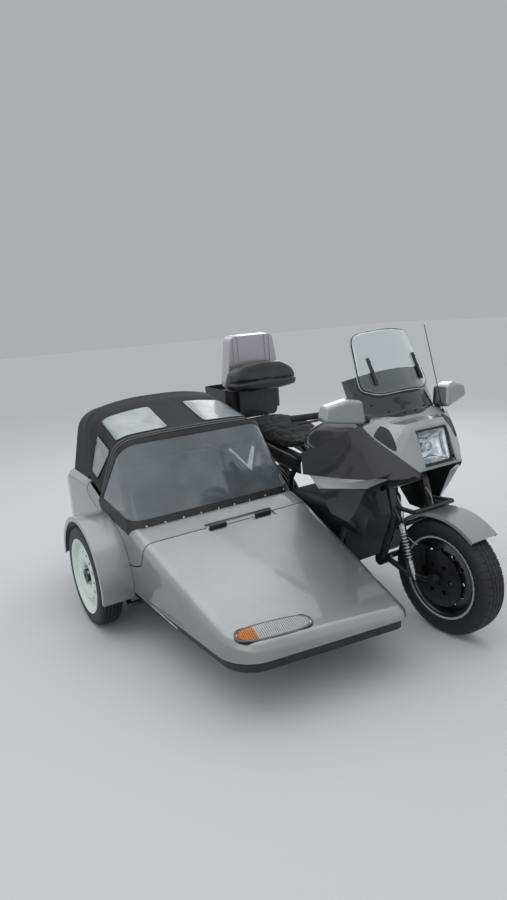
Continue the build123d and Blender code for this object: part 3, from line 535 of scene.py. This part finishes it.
# columns: name, hub, radius in mm, half width in mm, CAD node, body
tyres = [
    ("front_tyre_tread", front_hub, 284, 67, "front_tyre", "front_wheel_body"),
    ("rear_tyre_tread", rear_hub, 288, 77, "rear_tyre", "rear_wheel_body"),
    ("sidecar_tyre_tread", sidecar_hub, 275, 62, "sidecar_tyre", "sidecar_wheel_body"),
]
for row in tyres:
    tyre_piece(*row)

# Screens
# Clear acrylic for the tall screen, misted for the sidecar's windscreen, smoked for the lower screen. The
# tall one's cut edge is polished and looks brighter; its cord is painted pale, a painted highlight for the
# light that the edge catches. Screws hold the lower one to the fairing.
acrylic, tree, shader = start_material("clear_acrylic", "#f2f6f7", Roughness=0.03, IOR=1.49,
                                       Transmission_Weight=1.0, Coat_Weight=0.2)
grained(tree, shader, 60, 0.2, 0.05)
misted, tree, shader = start_material("misted_acrylic", "#b4bcc4", Roughness=0.06, IOR=1.49,
                                      Transmission_Weight=0.84, Coat_Weight=0.6, Coat_Roughness=0.04)
mottle(tree, shader, 220, "#a4adb6", "#c3cad0")
dress(misted, "windscreen")
smoked, tree, shader = start_material("smoked_acrylic", "#42484b", Roughness=0.05, IOR=1.49,
                                      Transmission_Weight=1.0)
grained(tree, shader, 60, 0.2, 0.05)
dress(smoked, "lower_screen")
# The pale colour of this cord is a painted highlight: the light that the polished edge catches, not a colour
# of the acrylic.
painted_edge_highlight, tree, shader = start_material("acrylic_edge_with_painted_highlight", "#cfd8da", Roughness=0.12,
                                           Transmission_Weight=0.35, IOR=1.49)
mottle(tree, shader, 20, "#bcc6c8", "#dde4e6")
soften(0, 32, "windscreen", "lower_screen")
bend_r = 430


def screen_spot(low, high):
    """The front face of a screen bent round an upright cylinder that leans back."""
    length = hypot(high[0] - low[0], high[1] - low[1])
    back, rise = (high[0] - low[0]) / length, (high[1] - low[1]) / length

    def spot(across, along, lift):
        deep = bend_r - sqrt(bend_r * bend_r - across * across) - lift
        return (across, (low[0] + high[0]) / 2 + along * back + deep * rise,
                (low[1] + high[1]) / 2 + along * rise - deep * back)

    return spot


tall_spot = screen_spot((238, 1160), (388, 1456))
tall_outline = rounded([(-150, -165), (150, -165), (222, -118), (222, -70), (190, 165), (-190, 165),
                        (-222, -70), (-222, -118)], 46)
tall = patch_piece("tall_screen_sheet", tall_outline, lambda a, b: tall_spot(a, b, -2), acrylic, "chassis",
                   rings=12)
thicken(tall, 4)
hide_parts("tall_screen")
tube_piece("tall_screen_edge", [tall_spot(a, b, -2) for a, b in tall_outline[::2]], 2.4, painted_edge_highlight,
           "chassis", closed=True)
clamp_across = 150
for side, label in ((1, "left"), (-1, "right")):
    clamp_line = [tall_spot(side * clamp_across, along, 6) for along in range(-112, 29, 20)]
    tube_piece("clamp_cover_" + label, clamp_line, 8.5, black_plastic, "chassis")
stud_piece("clamp_screws", [(tall_spot(side * clamp_across, along, 15), (side * 0.3, -0.85, 0.4))
                            for side in (-1, 1) for along in (-92, -42, 8)], 5, 3, 8, black_enamel, "chassis")
# columns: place in mm of each screw near the lower screen's foot, and the way it points
screen_screws = [((-236, 338, 1160), (-0.57, -0.75, 0.34)), ((-188, 283, 1106), (-0.45, -0.81, 0.38)),
                 ((-120, 238, 1070), (-0.29, -0.87, 0.4)), ((-37, 217, 1060), (-0.1, -0.9, 0.42)),
                 ((37, 217, 1060), (0.1, -0.9, 0.42)), ((120, 238, 1070), (0.29, -0.87, 0.4)),
                 ((188, 283, 1106), (0.45, -0.81, 0.38)), ((236, 338, 1160), (0.57, -0.75, 0.34))]
stud_piece("lower_screen_screws", screen_screws, 5, 4, 10, black_plastic, "chassis")

# Headlight
# A clear lens with upright flutes over a bright vacuum-plated bowl, in a dark moulded frame. The bowl has
# a plated cap before its bulb. The lens leans back with the fairing's nose.
lamp_glass, tree, shader = start_material("clear_lamp_glass", "#f4f7f8", Roughness=0.04,
                                          Transmission_Weight=1.0, IOR=1.5)
flute_mm = 11
where = add_node(tree, "ShaderNodeTexCoord")
flutes = add_node(tree, "ShaderNodeTexWave", {"Scale": 1000 / flute_mm / 20},
                  {"Vector": where.outputs["Object"]}, bands_direction="X")
bump = add_node(tree, "ShaderNodeBump", {"Strength": 0.35, "Distance": 0.001},
                {"Height": flutes.outputs["Fac"]})
tree.links.new(bump.outputs["Normal"], shader.inputs["Normal"])
plated, tree, shader = start_material("plated_reflector", "#d9dcde", Metallic=1.0, Roughness=0.16)
mottle(tree, shader, 35, "#b9bdc0", "#e8eaec")
head_foot, head_top = (48, 826), (92, 990)


def head_spot(across, share, deep=0.0):
    """A point of the headlight: across in mm, share of its height from 0 to 1, and mm behind its front."""
    y = head_foot[0] + (head_top[0] - head_foot[0]) * share
    z = head_foot[1] + (head_top[1] - head_foot[1]) * share
    return across, y + deep * 0.966, z - deep * 0.259


def bowl_spot(u, v):
    across, share = 2 * u - 1, 2 * v - 1
    hollow = max(0.0, 1 - across ** 4) * max(0.0, 1 - share ** 4)
    return head_spot(across * 94, 0.06 + 0.88 * v, 10 + 62 * hollow ** 0.6)


reflector = grid_piece("headlight_bowl", bowl_spot, 36, 28, plated, "chassis")
thicken(reflector, 2)
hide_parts("headlight")
# columns: share of the cap's radius, and mm before the bowl
cap_ring = [(1.0, 0.0), (1.0, 22.0), (0.85, 27.0), (0.45, 30.0), (0.0, 31.0)]
cap_r = 24


def cap_spot(u, v):
    share, reach = cap_ring[int(round(v * (len(cap_ring) - 1)))]
    x, y, z = head_spot(cap_r * share * cos(2 * pi * u), 0.5, 62 - reach)
    return x, y, z + cap_r * share * sin(2 * pi * u)


grid_piece("headlight_bulb_cap", cap_spot, 28, len(cap_ring) - 1, plated, "chassis",
           closed=True)


def lens_spot(u, v):
    return head_spot(-96 + 192 * u, 0.035 + 0.93 * v, 3 - 5 * sin(pi * u) * sin(pi * v))


lens_piece = grid_piece("headlight_lens", lens_spot, 24, 20, lamp_glass, "chassis")
thicken(lens_piece, 3)
head_height = 169.8
frame_line = rounded([(-98, 2), (98, 2), (98, 167), (-98, 167)], 14)
tube_piece("headlight_frame", [head_spot(a, b / head_height, 2) for a, b in frame_line], 5.5, black_plastic,
           "chassis", closed=True)

# Nose intakes
# One black moulded cover on each side of the headlight, with a raised rim.
# columns: place in mm of each corner on the fairing's right half
intake_corners = [(-248, 202, 988), (-207, 211, 1018), (-185, 176, 999), (-194, 136, 954), (-199, 114, 915),
                  (-211, 120, 912), (-259, 197, 976)]
for side, label in ((1, "right"), (-1, "left")):
    ring = [Vector((side * x, y, z)) + Vector((side * -0.5, -0.7, 0.5)) * 2.0 for x, y, z in intake_corners]
    middle = sum(ring, Vector()) / len(ring)
    spots = [place(*p) for p in [middle] + ring]
    faces = [(0, 1 + k, 1 + (k + 1) % len(ring)) for k in range(len(ring))]
    mesh = bpy.data.meshes.new("intake_" + label)
    mesh.from_pydata(spots, [], faces)
    thicken(new_piece("intake_" + label, mesh, black_plastic, "chassis", smooth=False), 2)
    tube_piece("intake_rim_" + label, ring, 2.6, black_plastic, "chassis", closed=True)

# Mirrors
# Silver shells; each holds a glass in a black edge moulding on the rider's side.
mirror_outline = rounded([(-96, -54), (-82, 38), (-18, 48), (82, 26), (94, -20), (88, -28)], 22)
mirror_middle = (366, 293, 1099)
mirror_turn = radians(16.5)
glass_back = 45.2
mirror_glass, tree, shader = start_material("mirror_glass", "#c6cbce", Metallic=1.0, Roughness=0.03)
mottle(tree, shader, 80, "#bfc4c7", "#ccd1d4")
for side, label in ((1, "left"), (-1, "right")):
    def glass_spot(across, high):
        x = across * cos(mirror_turn) - glass_back * sin(mirror_turn)
        y = across * sin(mirror_turn) + glass_back * cos(mirror_turn)
        return side * (mirror_middle[0] + x), mirror_middle[1] + y, mirror_middle[2] + high

    plate = patch_piece("mirror_glass_" + label, mirror_outline, glass_spot, mirror_glass, "chassis",
                        rings=4)
    thicken(plate, 2)
    tube_piece("mirror_edge_" + label, [glass_spot(a, b) for a, b in mirror_outline], 4, black_plastic,
               "chassis", closed=True)

# Fork fittings
# A braided brake hose runs down each leg, from below its upper end to the caliper.
hose_rubber, tree, shader = start_material("braided_hose", "#b0b4b4", Metallic=0.6, Roughness=0.45)
mottle(tree, shader, 3, "#9a9e9e", "#c4c8c8")
for side, label in ((1, "left"), (-1, "right")):
    run = [(100, 222, 652), (104, 208, 640), (103, 176, 590), (98, 190, 520), (100, 176, 470),
           (88, 132, 430), (80, 112, 424)]
    tube_piece("brake_hose_" + label, [(side * x, y, z) for x, y, z in run], 3.4, hose_rubber, "steering")

# Rider's seat
# A black sheepskin lies over the saddle, thick and uneven, with its fleece in small tufts.
fleece, tree, shader = start_material("black_sheepskin", "#0d0d0e", Roughness=0.95, Sheen_Weight=0.08,
                                      Sheen_Roughness=0.5)
mottle(tree, shader, 14, "#070708", "#151516")
grained(tree, shader, 5, 3.0, 0.8)
tuft_mm, clump_mm = 17, 45
saddle_front, saddle_length = 925, 635
# columns: y in mm, then the height of the top, the height of the lower edge, and the half width there
saddle_top = [(925, 838), (1000, 838), (1110, 850), (1180, 872), (1250, 893), (1380, 918), (1480, 926),
              (1560, 926)]
saddle_low = [(925, 800), (1110, 766), (1250, 786), (1460, 812), (1560, 846)]
saddle_half = [(925, 118), (1000, 150), (1110, 166), (1380, 176), (1500, 170), (1560, 150)]


def fleece_spot(u, v):
    y = saddle_front + saddle_length * v
    top, low, half = read(saddle_top, y), read(saddle_low, y), read(saddle_half, y)
    end = min(1.0, max(0.0, sin(pi * v)) ** 0.22)
    turn = 2 * pi * u
    side, lift = cos(turn), sin(turn)
    x = half * end * signed_power(side, 0.62)
    middle = (top + low) / 2
    z = middle + (top - low) / 2 * end * signed_power(lift, 0.7)
    spot = Vector((x, y, z))
    tuft = noise.noise(spot / tuft_mm) * 8 + noise.noise(spot / clump_mm) * 9
    return x * (1 + tuft / 260), y, z + tuft * (0.6 if lift >= 0 else 0.1)


saddle = grid_piece("sheepskin_seat", fleece_spot, 120, 130, fleece, "chassis", closed=True)
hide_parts("seat")

# Backrest
# A black vinyl pad with an arched top and a fuller lower roll, sewn along the line between them.
vinyl, tree, shader = start_material("black_vinyl", "#141415", Roughness=0.34, Coat_Weight=0.25)
mottle(tree, shader, 60, "#101011", "#1d1d1e")
grained(tree, shader, 2.2, 0.25, 0.5, "ShaderNodeTexVoronoi", "Distance")
pad_line = rounded([(-250, 1100), (-120, 1084), (120, 1084), (250, 1100), (262, 1140), (236, 1216),
                    (150, 1262), (0, 1278), (-150, 1262), (-236, 1216), (-262, 1140)], 24)
pad_back_y, pad_middle_z = 1581, 1168
# columns: share of the way from the middle to the edge, distance in mm before the back
pad_rings = [(0.0, 0), (0.5, 0), (0.9, 0), (0.97, 4), (1.0, 18), (1.0, 52), (0.985, 80), (0.95, 98),
             (0.88, 108), (0.78, 114), (0.64, 118), (0.5, 120), (0.34, 121), (0.17, 121), (0.0, 121)]
seam_z = 1152


def pad_spot(u, v):
    edge = Vector(pad_line[int(round(u * len(pad_line))) % len(pad_line)])
    share, deep = pad_rings[int(round(v * (len(pad_rings) - 1)))]
    spot = Vector((0, pad_middle_z)).lerp(edge, share)
    dent = 20 * max(0.0, 1 - abs(spot.y - seam_z) / 15) ** 1.5 if deep > 60 else 0
    upper = 14 * min(1.0, max(0.0, (spot.y - seam_z) / 60)) if deep > 60 else 0
    return spot.x, pad_back_y - deep + dent + upper, spot.y


pad = grid_piece("backrest_cushion", pad_spot, len(pad_line), len(pad_rings) - 1, vinyl, "chassis",
                 closed=True)
fine = pad.modifiers.new("fine", "SUBSURF")
fine.levels = fine.render_levels = 2
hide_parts("backrest_pad")

# Sidecar bench
# Two foam cushions in dark woven cloth, sewn into upright channels.
cloth, tree, shader = start_material("dark_woven_cloth", "#3a3b40", Roughness=0.92, Sheen_Weight=0.2)
mottle(tree, shader, 9, "#2f3035", "#46474d")
grained(tree, shader, 2.4, 0.5, 0.6)
channel_mm = 108
channel_depth = 0.05


def cushion_piece(name, low, high):
    """A stuffed block between two corners in mm, with rounded edges and sewn channels side by side."""
    low, high = Vector(low), Vector(high)
    middle, half = (low + high) / 2, (high - low) / 2

    def skin(u, v):
        turn, tilt = 2 * pi * u, pi * (v - 0.5)
        ball = (cos(tilt) * cos(turn), cos(tilt) * sin(turn), sin(tilt))
        spot = [signed_power(value, 0.28) for value in ball]
        size = max(abs(s) for s in spot) ** 0.35
        here = middle + Vector([max(-1.0, min(1.0, s / size)) for s in spot]) * half
        dent = abs(cos(pi * (here.x - low.x) / channel_mm)) ** 0.6
        inward = 1 - channel_depth * (1 - dent)
        return here.x, middle.y + (here.y - middle.y) * inward, middle.z + (here.z - middle.z) * inward

    piece = grid_piece(name, skin, 144, 72, cloth, "chassis", closed=True)
    return piece


bench = cushion_piece("bench_cushion", (-1172, 1332, 268), (-308, 1640, 419))
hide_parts("sidecar_seat")
cushion_piece("bench_back_cushion", (-1172, 1602, 421), (-308, 1738, 699))

# Soft top
# Black coated canvas over its bows, from the windscreen's arch to the rear deck, with clear vinyl panes
# sewn into the roof and the sides. A double grey piping runs along its front edge.
canvas, tree, shader = start_material("black_coated_canvas", "#17181a", Roughness=0.78)
mottle(tree, shader, 90, "#131416", "#1d1e21")
grained(tree, shader, 1.6, 0.35, 0.5)
piping, tree, shader = start_material("grey_piping", "#6f7373", Roughness=0.5)
mottle(tree, shader, 10, "#636767", "#7d8181")
pane, tree, shader = start_material("clear_vinyl_pane", "#dfe5e7", Roughness=0.14, Transmission_Weight=0.72,
                                    IOR=1.45, Coat_Weight=0.5)
mottle(tree, shader, 120, "#c5cccf", "#e3e8ea")
grained(tree, shader, 70, 2.0, 0.25)
centre_x = -740
# columns: foot y, foot z, top y, top z, half width at foot, half width at top, crown, corner radius
top_bows = [
    (1340, 662, 1112, 990, 468, 428, 12, 100),
    (1546, 741, 1500, 1124, 468, 432, 46, 110),
    (1600, 690, 1600, 1146, 468, 432, 50, 115),
    (1880, 690, 1740, 1118, 462, 420, 50, 110),
]
bow_steps = 96
# mm: the point that the canvas is pushed out from, and the one on the rear deck where its back panel ends
cabin_middle = Vector((centre_x, 1450, 780))
rear_foot = Vector((centre_x, 1876, 694))
rear_rows = 0.6


def bow_line(row):
    """One bow's outline from foot to foot, as even steps of (across, along)."""
    foot_y, foot_z, top_y, top_z, foot_half, top_half, crown, corner = row
    height = hypot(top_y - foot_y, top_z - foot_z)
    line = [(-foot_half, 0), (-top_half, height - crown), (-top_half * 0.42, height),
            (top_half * 0.42, height), (top_half, height - crown), (foot_half, 0)]
    cuts = [0, corner, 120, 120, corner, 0]
    dense = []
    for k, here in enumerate(line):
        here = Vector(here)
        if not cuts[k]:
            dense.append(here)
            continue
        start = here + (Vector(line[k - 1]) - here).normalized() * cuts[k]
        end = here + (Vector(line[k + 1]) - here).normalized() * cuts[k]
        dense += bend(start, here, end, 12)
    lengths = [0.0]
    for here, there in zip(dense, dense[1:]):
        lengths.append(lengths[-1] + (there - here).length)
    even = []
    for step in range(bow_steps + 1):
        at = lengths[-1] * step / bow_steps
        k = max(i for i in range(len(dense) - 1) if lengths[i] <= at + 1e-9)
        t = (at - lengths[k]) / max(lengths[k + 1] - lengths[k], 1e-9)
        even.append(dense[k].lerp(dense[k + 1], min(t, 1.0)))
    return even


bow_lines = [bow_line(row) for row in top_bows]


def top_spot(u, rows, lift=0.0):
    """A point of the canvas: u along the bows, rows from 0 at the front bow to 3 at the last one."""
    k = min(int(rows), 2)
    t = rows - k
    spots = []
    at = u * bow_steps
    step = min(int(at), bow_steps - 1)
    for row, line in ((top_bows[k], bow_lines[k]), (top_bows[k + 1], bow_lines[k + 1])):
        across, along = line[step].lerp(line[step + 1], at - step)
        height = hypot(row[2] - row[0], row[3] - row[1])
        back, rise = (row[2] - row[0]) / height, (row[3] - row[1]) / height
        spots.append(Vector((centre_x + across, row[0] + back * along, row[1] + rise * along)))
    spot = spots[0].lerp(spots[1], t)
    inward = cabin_middle - spot
    sag = (5.0 if k != 1 else 1.5) * sin(pi * t) * sin(pi * u)
    return spot + inward.normalized() * (sag + 1.0 - lift)


def canvas_spot(u, v):
    rows = v * (3 + rear_rows)
    if rows <= 3:
        return top_spot(u, rows)
    return top_spot(u, 3).lerp(rear_foot, (rows - 3) / rear_rows)


canvas_rows = 54
hood = grid_piece("soft_top_canvas", canvas_spot, bow_steps, canvas_rows, canvas, "chassis")
thicken(hood, 2.4)
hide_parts("soft_top")
# mm: the canvas along a bow, and from the front bow to the next, as laid flat for the panes
bow_mm, bay_mm = 1600, 400
pane_front, pane_back = 0.15 * bay_mm, 0.84 * bay_mm
for label, low_u, high_u in (("right", 0.235, 0.43), ("left", 0.57, 0.765)):
    low_a, high_a = low_u * bow_mm, high_u * bow_mm
    pane_line = rounded([(low_a, pane_front), (high_a, pane_front), (high_a, pane_back), (low_a, pane_back)],
                        26)
    piece = patch_piece("roof_pane_" + label, pane_line,
                        lambda a, b: top_spot(a / bow_mm, b / bay_mm, 3.2), pane, "chassis",
                        rings=16)
    thicken(piece, 1)
    tube_piece("roof_pane_binding_" + label, [top_spot(a / bow_mm, b / bay_mm, 3.0) for a, b in pane_line],
               2.6, canvas, "chassis", closed=True)
# columns: y and z of each corner of the side pane, and how far its wall stands from the middle
quarter = [(1215, 925, 434), (1415, 992, 431), (1488, 775, 464), (1398, 748, 465)]
quarter_mm = 200
for side, label in ((-1, "right"), (1, "left")):
    corners = [Vector((centre_x + side * (out + 2), y, z)) for y, z, out in quarter]

    def quarter_spot(a, b):
        a, b = a / quarter_mm, b / quarter_mm
        low, high = corners[3].lerp(corners[2], a), corners[0].lerp(corners[1], a)
        return low.lerp(high, b)

    quarter_line = rounded([(0, 0), (quarter_mm, 0), (quarter_mm, quarter_mm), (0, quarter_mm)], 24)
    piece = patch_piece("side_pane_" + label, quarter_line, quarter_spot, pane, "chassis")
    thicken(piece, 1)
    tube_piece("side_pane_binding_" + label, [quarter_spot(a, b) for a, b in quarter_line], 2.6, canvas,
               "chassis", closed=True)
piping_steps = 48
for k, rows in enumerate((0.03, 0.09)):
    piping_line = [top_spot(step / piping_steps, rows, 2.4) for step in range(piping_steps + 1)]
    tube_piece("front_piping_%d" % k, piping_line, 2.2, piping, "chassis")

# Windscreen strip
# Small plated studs button down the strip along the windscreen's foot.
# columns: place in mm of each stud
stud_places = [(-313, 889, 597), (-441, 885, 589), (-545, 884, 586), (-641, 883, 585), (-739, 883, 584),
               (-843, 883, 585), (-944, 883, 585), (-1047, 883, 584), (-1148, 884, 586)]
stud_piece("strip_studs", [(spot, (0, -0.89, 0.46)) for spot in stud_places], 6, 3, 14, chrome,
           "sidecar_lid_body")

# Sidecar lamp
# One oval lens for sidelight and indicator: amber at its outer end and clear with flutes elsewhere, in a
# grey bezel let into the nose. Stripes of painted shade run along the flutes.
nose_slope, lamp_sweep = radians(15.83), radians(-8.6)
lamp_turn = Matrix.Rotation(nose_slope, 3, "X") @ Matrix.Rotation(lamp_sweep, 3, "Z")
lamp_middle = Vector((-990, 20, 338.1))
lamp_half, lamp_end_r = 168, 42
lamp_oval = 0.72
amber_from = -84


def lamp_spot(u, share, lift):
    """A point of the lamp: u round its oval, share of the way to its rim, and height over the nose."""
    turn = 2 * pi * u
    spot = Vector((lamp_half * share * signed_power(cos(turn), lamp_oval),
                   lamp_end_r * share * signed_power(sin(turn), lamp_oval), lift))
    return lamp_middle + lamp_turn @ spot


oval, tree, shader = start_material("oval_lamp_lens", "#e6eaec", Roughness=0.07, Transmission_Weight=0.45,
                                    IOR=1.5)
where = add_node(tree, "ShaderNodeTexCoord")
along = add_node(tree, "ShaderNodeVectorMath", links={0: where.outputs["Object"]}, operation="DOT_PRODUCT")
along.inputs[1].default_value = lamp_turn @ Vector((1, 0, 0))
amber_at = place(*(lamp_middle + lamp_turn @ Vector((amber_from, 0, 0)))).dot(lamp_turn @ Vector((1, 0, 0)))
clear = add_node(tree, "ShaderNodeMath", {1: amber_at}, {0: along.outputs["Value"]}, operation="GREATER_THAN")
tones = add_node(tree, "ShaderNodeMix", links={"Factor": clear.outputs[0]}, data_type="RGBA")
tones.inputs[6].default_value = linear("#ff9422")
tones.inputs[7].default_value = linear("#e2e8e8")
# The lens colour darkens and lightens in stripes with each flute: painted shade for the bands that the flutes
# show, on top of their real relief from the bump.
rib_mm = 9
ribs = add_node(tree, "ShaderNodeMath", {1: 1000 / rib_mm * 2 * pi}, {0: along.outputs["Value"]},
                operation="MULTIPLY")
ridge = add_node(tree, "ShaderNodeMath", links={0: ribs.outputs[0]}, operation="SINE")
flute_painted_shade = add_node(tree, "ShaderNodeMapRange", {"From Min": -1.0, "To Min": 0.4},
                    {"Value": ridge.outputs[0]})
lens_colour_with_painted_shade = add_node(tree, "ShaderNodeMix", {"Factor": 1.0}, data_type="RGBA", blend_type="MULTIPLY")
tree.links.new(tones.outputs[2], lens_colour_with_painted_shade.inputs[6])
tree.links.new(flute_painted_shade.outputs["Result"], lens_colour_with_painted_shade.inputs[7])
tree.links.new(lens_colour_with_painted_shade.outputs[2], shader.inputs["Base Color"])
bump = add_node(tree, "ShaderNodeBump", {"Strength": 0.5, "Distance": 0.002}, {"Height": ridge.outputs[0]})
tree.links.new(bump.outputs["Normal"], shader.inputs["Normal"])
bezel, tree, shader = start_material("grey_lamp_bezel", "#5d6062", Roughness=0.4)
mottle(tree, shader, 30, "#55585a", "#66696b")
lamp_steps = 72
oval_lens = grid_piece("sidecar_lamp_lens", lambda u, v: lamp_spot(u, v * 0.95, 3.2 + 3.5 * (1 - v * v)),
                       lamp_steps, 14, oval, "chassis", closed=True)
thicken(oval_lens, 2)
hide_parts("sidecar_lamp")
grid_piece("sidecar_lamp_bowl", lambda u, v: lamp_spot(u, v * 0.97, -8 + 8 * v ** 4), lamp_steps, 10, plated,
           "chassis", closed=True)
tube_piece("sidecar_lamp_bezel", [lamp_spot(k / lamp_steps, 1.0, 1.5) for k in range(lamp_steps)], 4.2,
           bezel, "chassis", closed=True)

# Trim strip
# A bright aluminium strip hides the joint between the hull and its pan on the outer side.
strip_metal, tree, shader = start_material("aluminium_trim", "#b4b7b9", Metallic=1.0, Roughness=0.3)
mottle(tree, shader, 30, "#9fa2a4", "#c2c5c7")
tube_piece("hull_trim_strip", [(-1236.5, y, 256) for y in (1180, 1000, 800, 600, 420)], 3.2, strip_metal,
           "chassis")

# Tail lamp
# A red moulded lens with a fine grain.
red_lens, tree, shader = start_material("red_lens", "#8c1212", Roughness=0.15, Coat_Weight=0.6)
mottle(tree, shader, 25, "#7a0d0d", "#9c1717")
grained(tree, shader, 6, 0.6, 0.5)
dress(red_lens, "tail_lamp")
soften(2.0, 32, "tail_lamp")
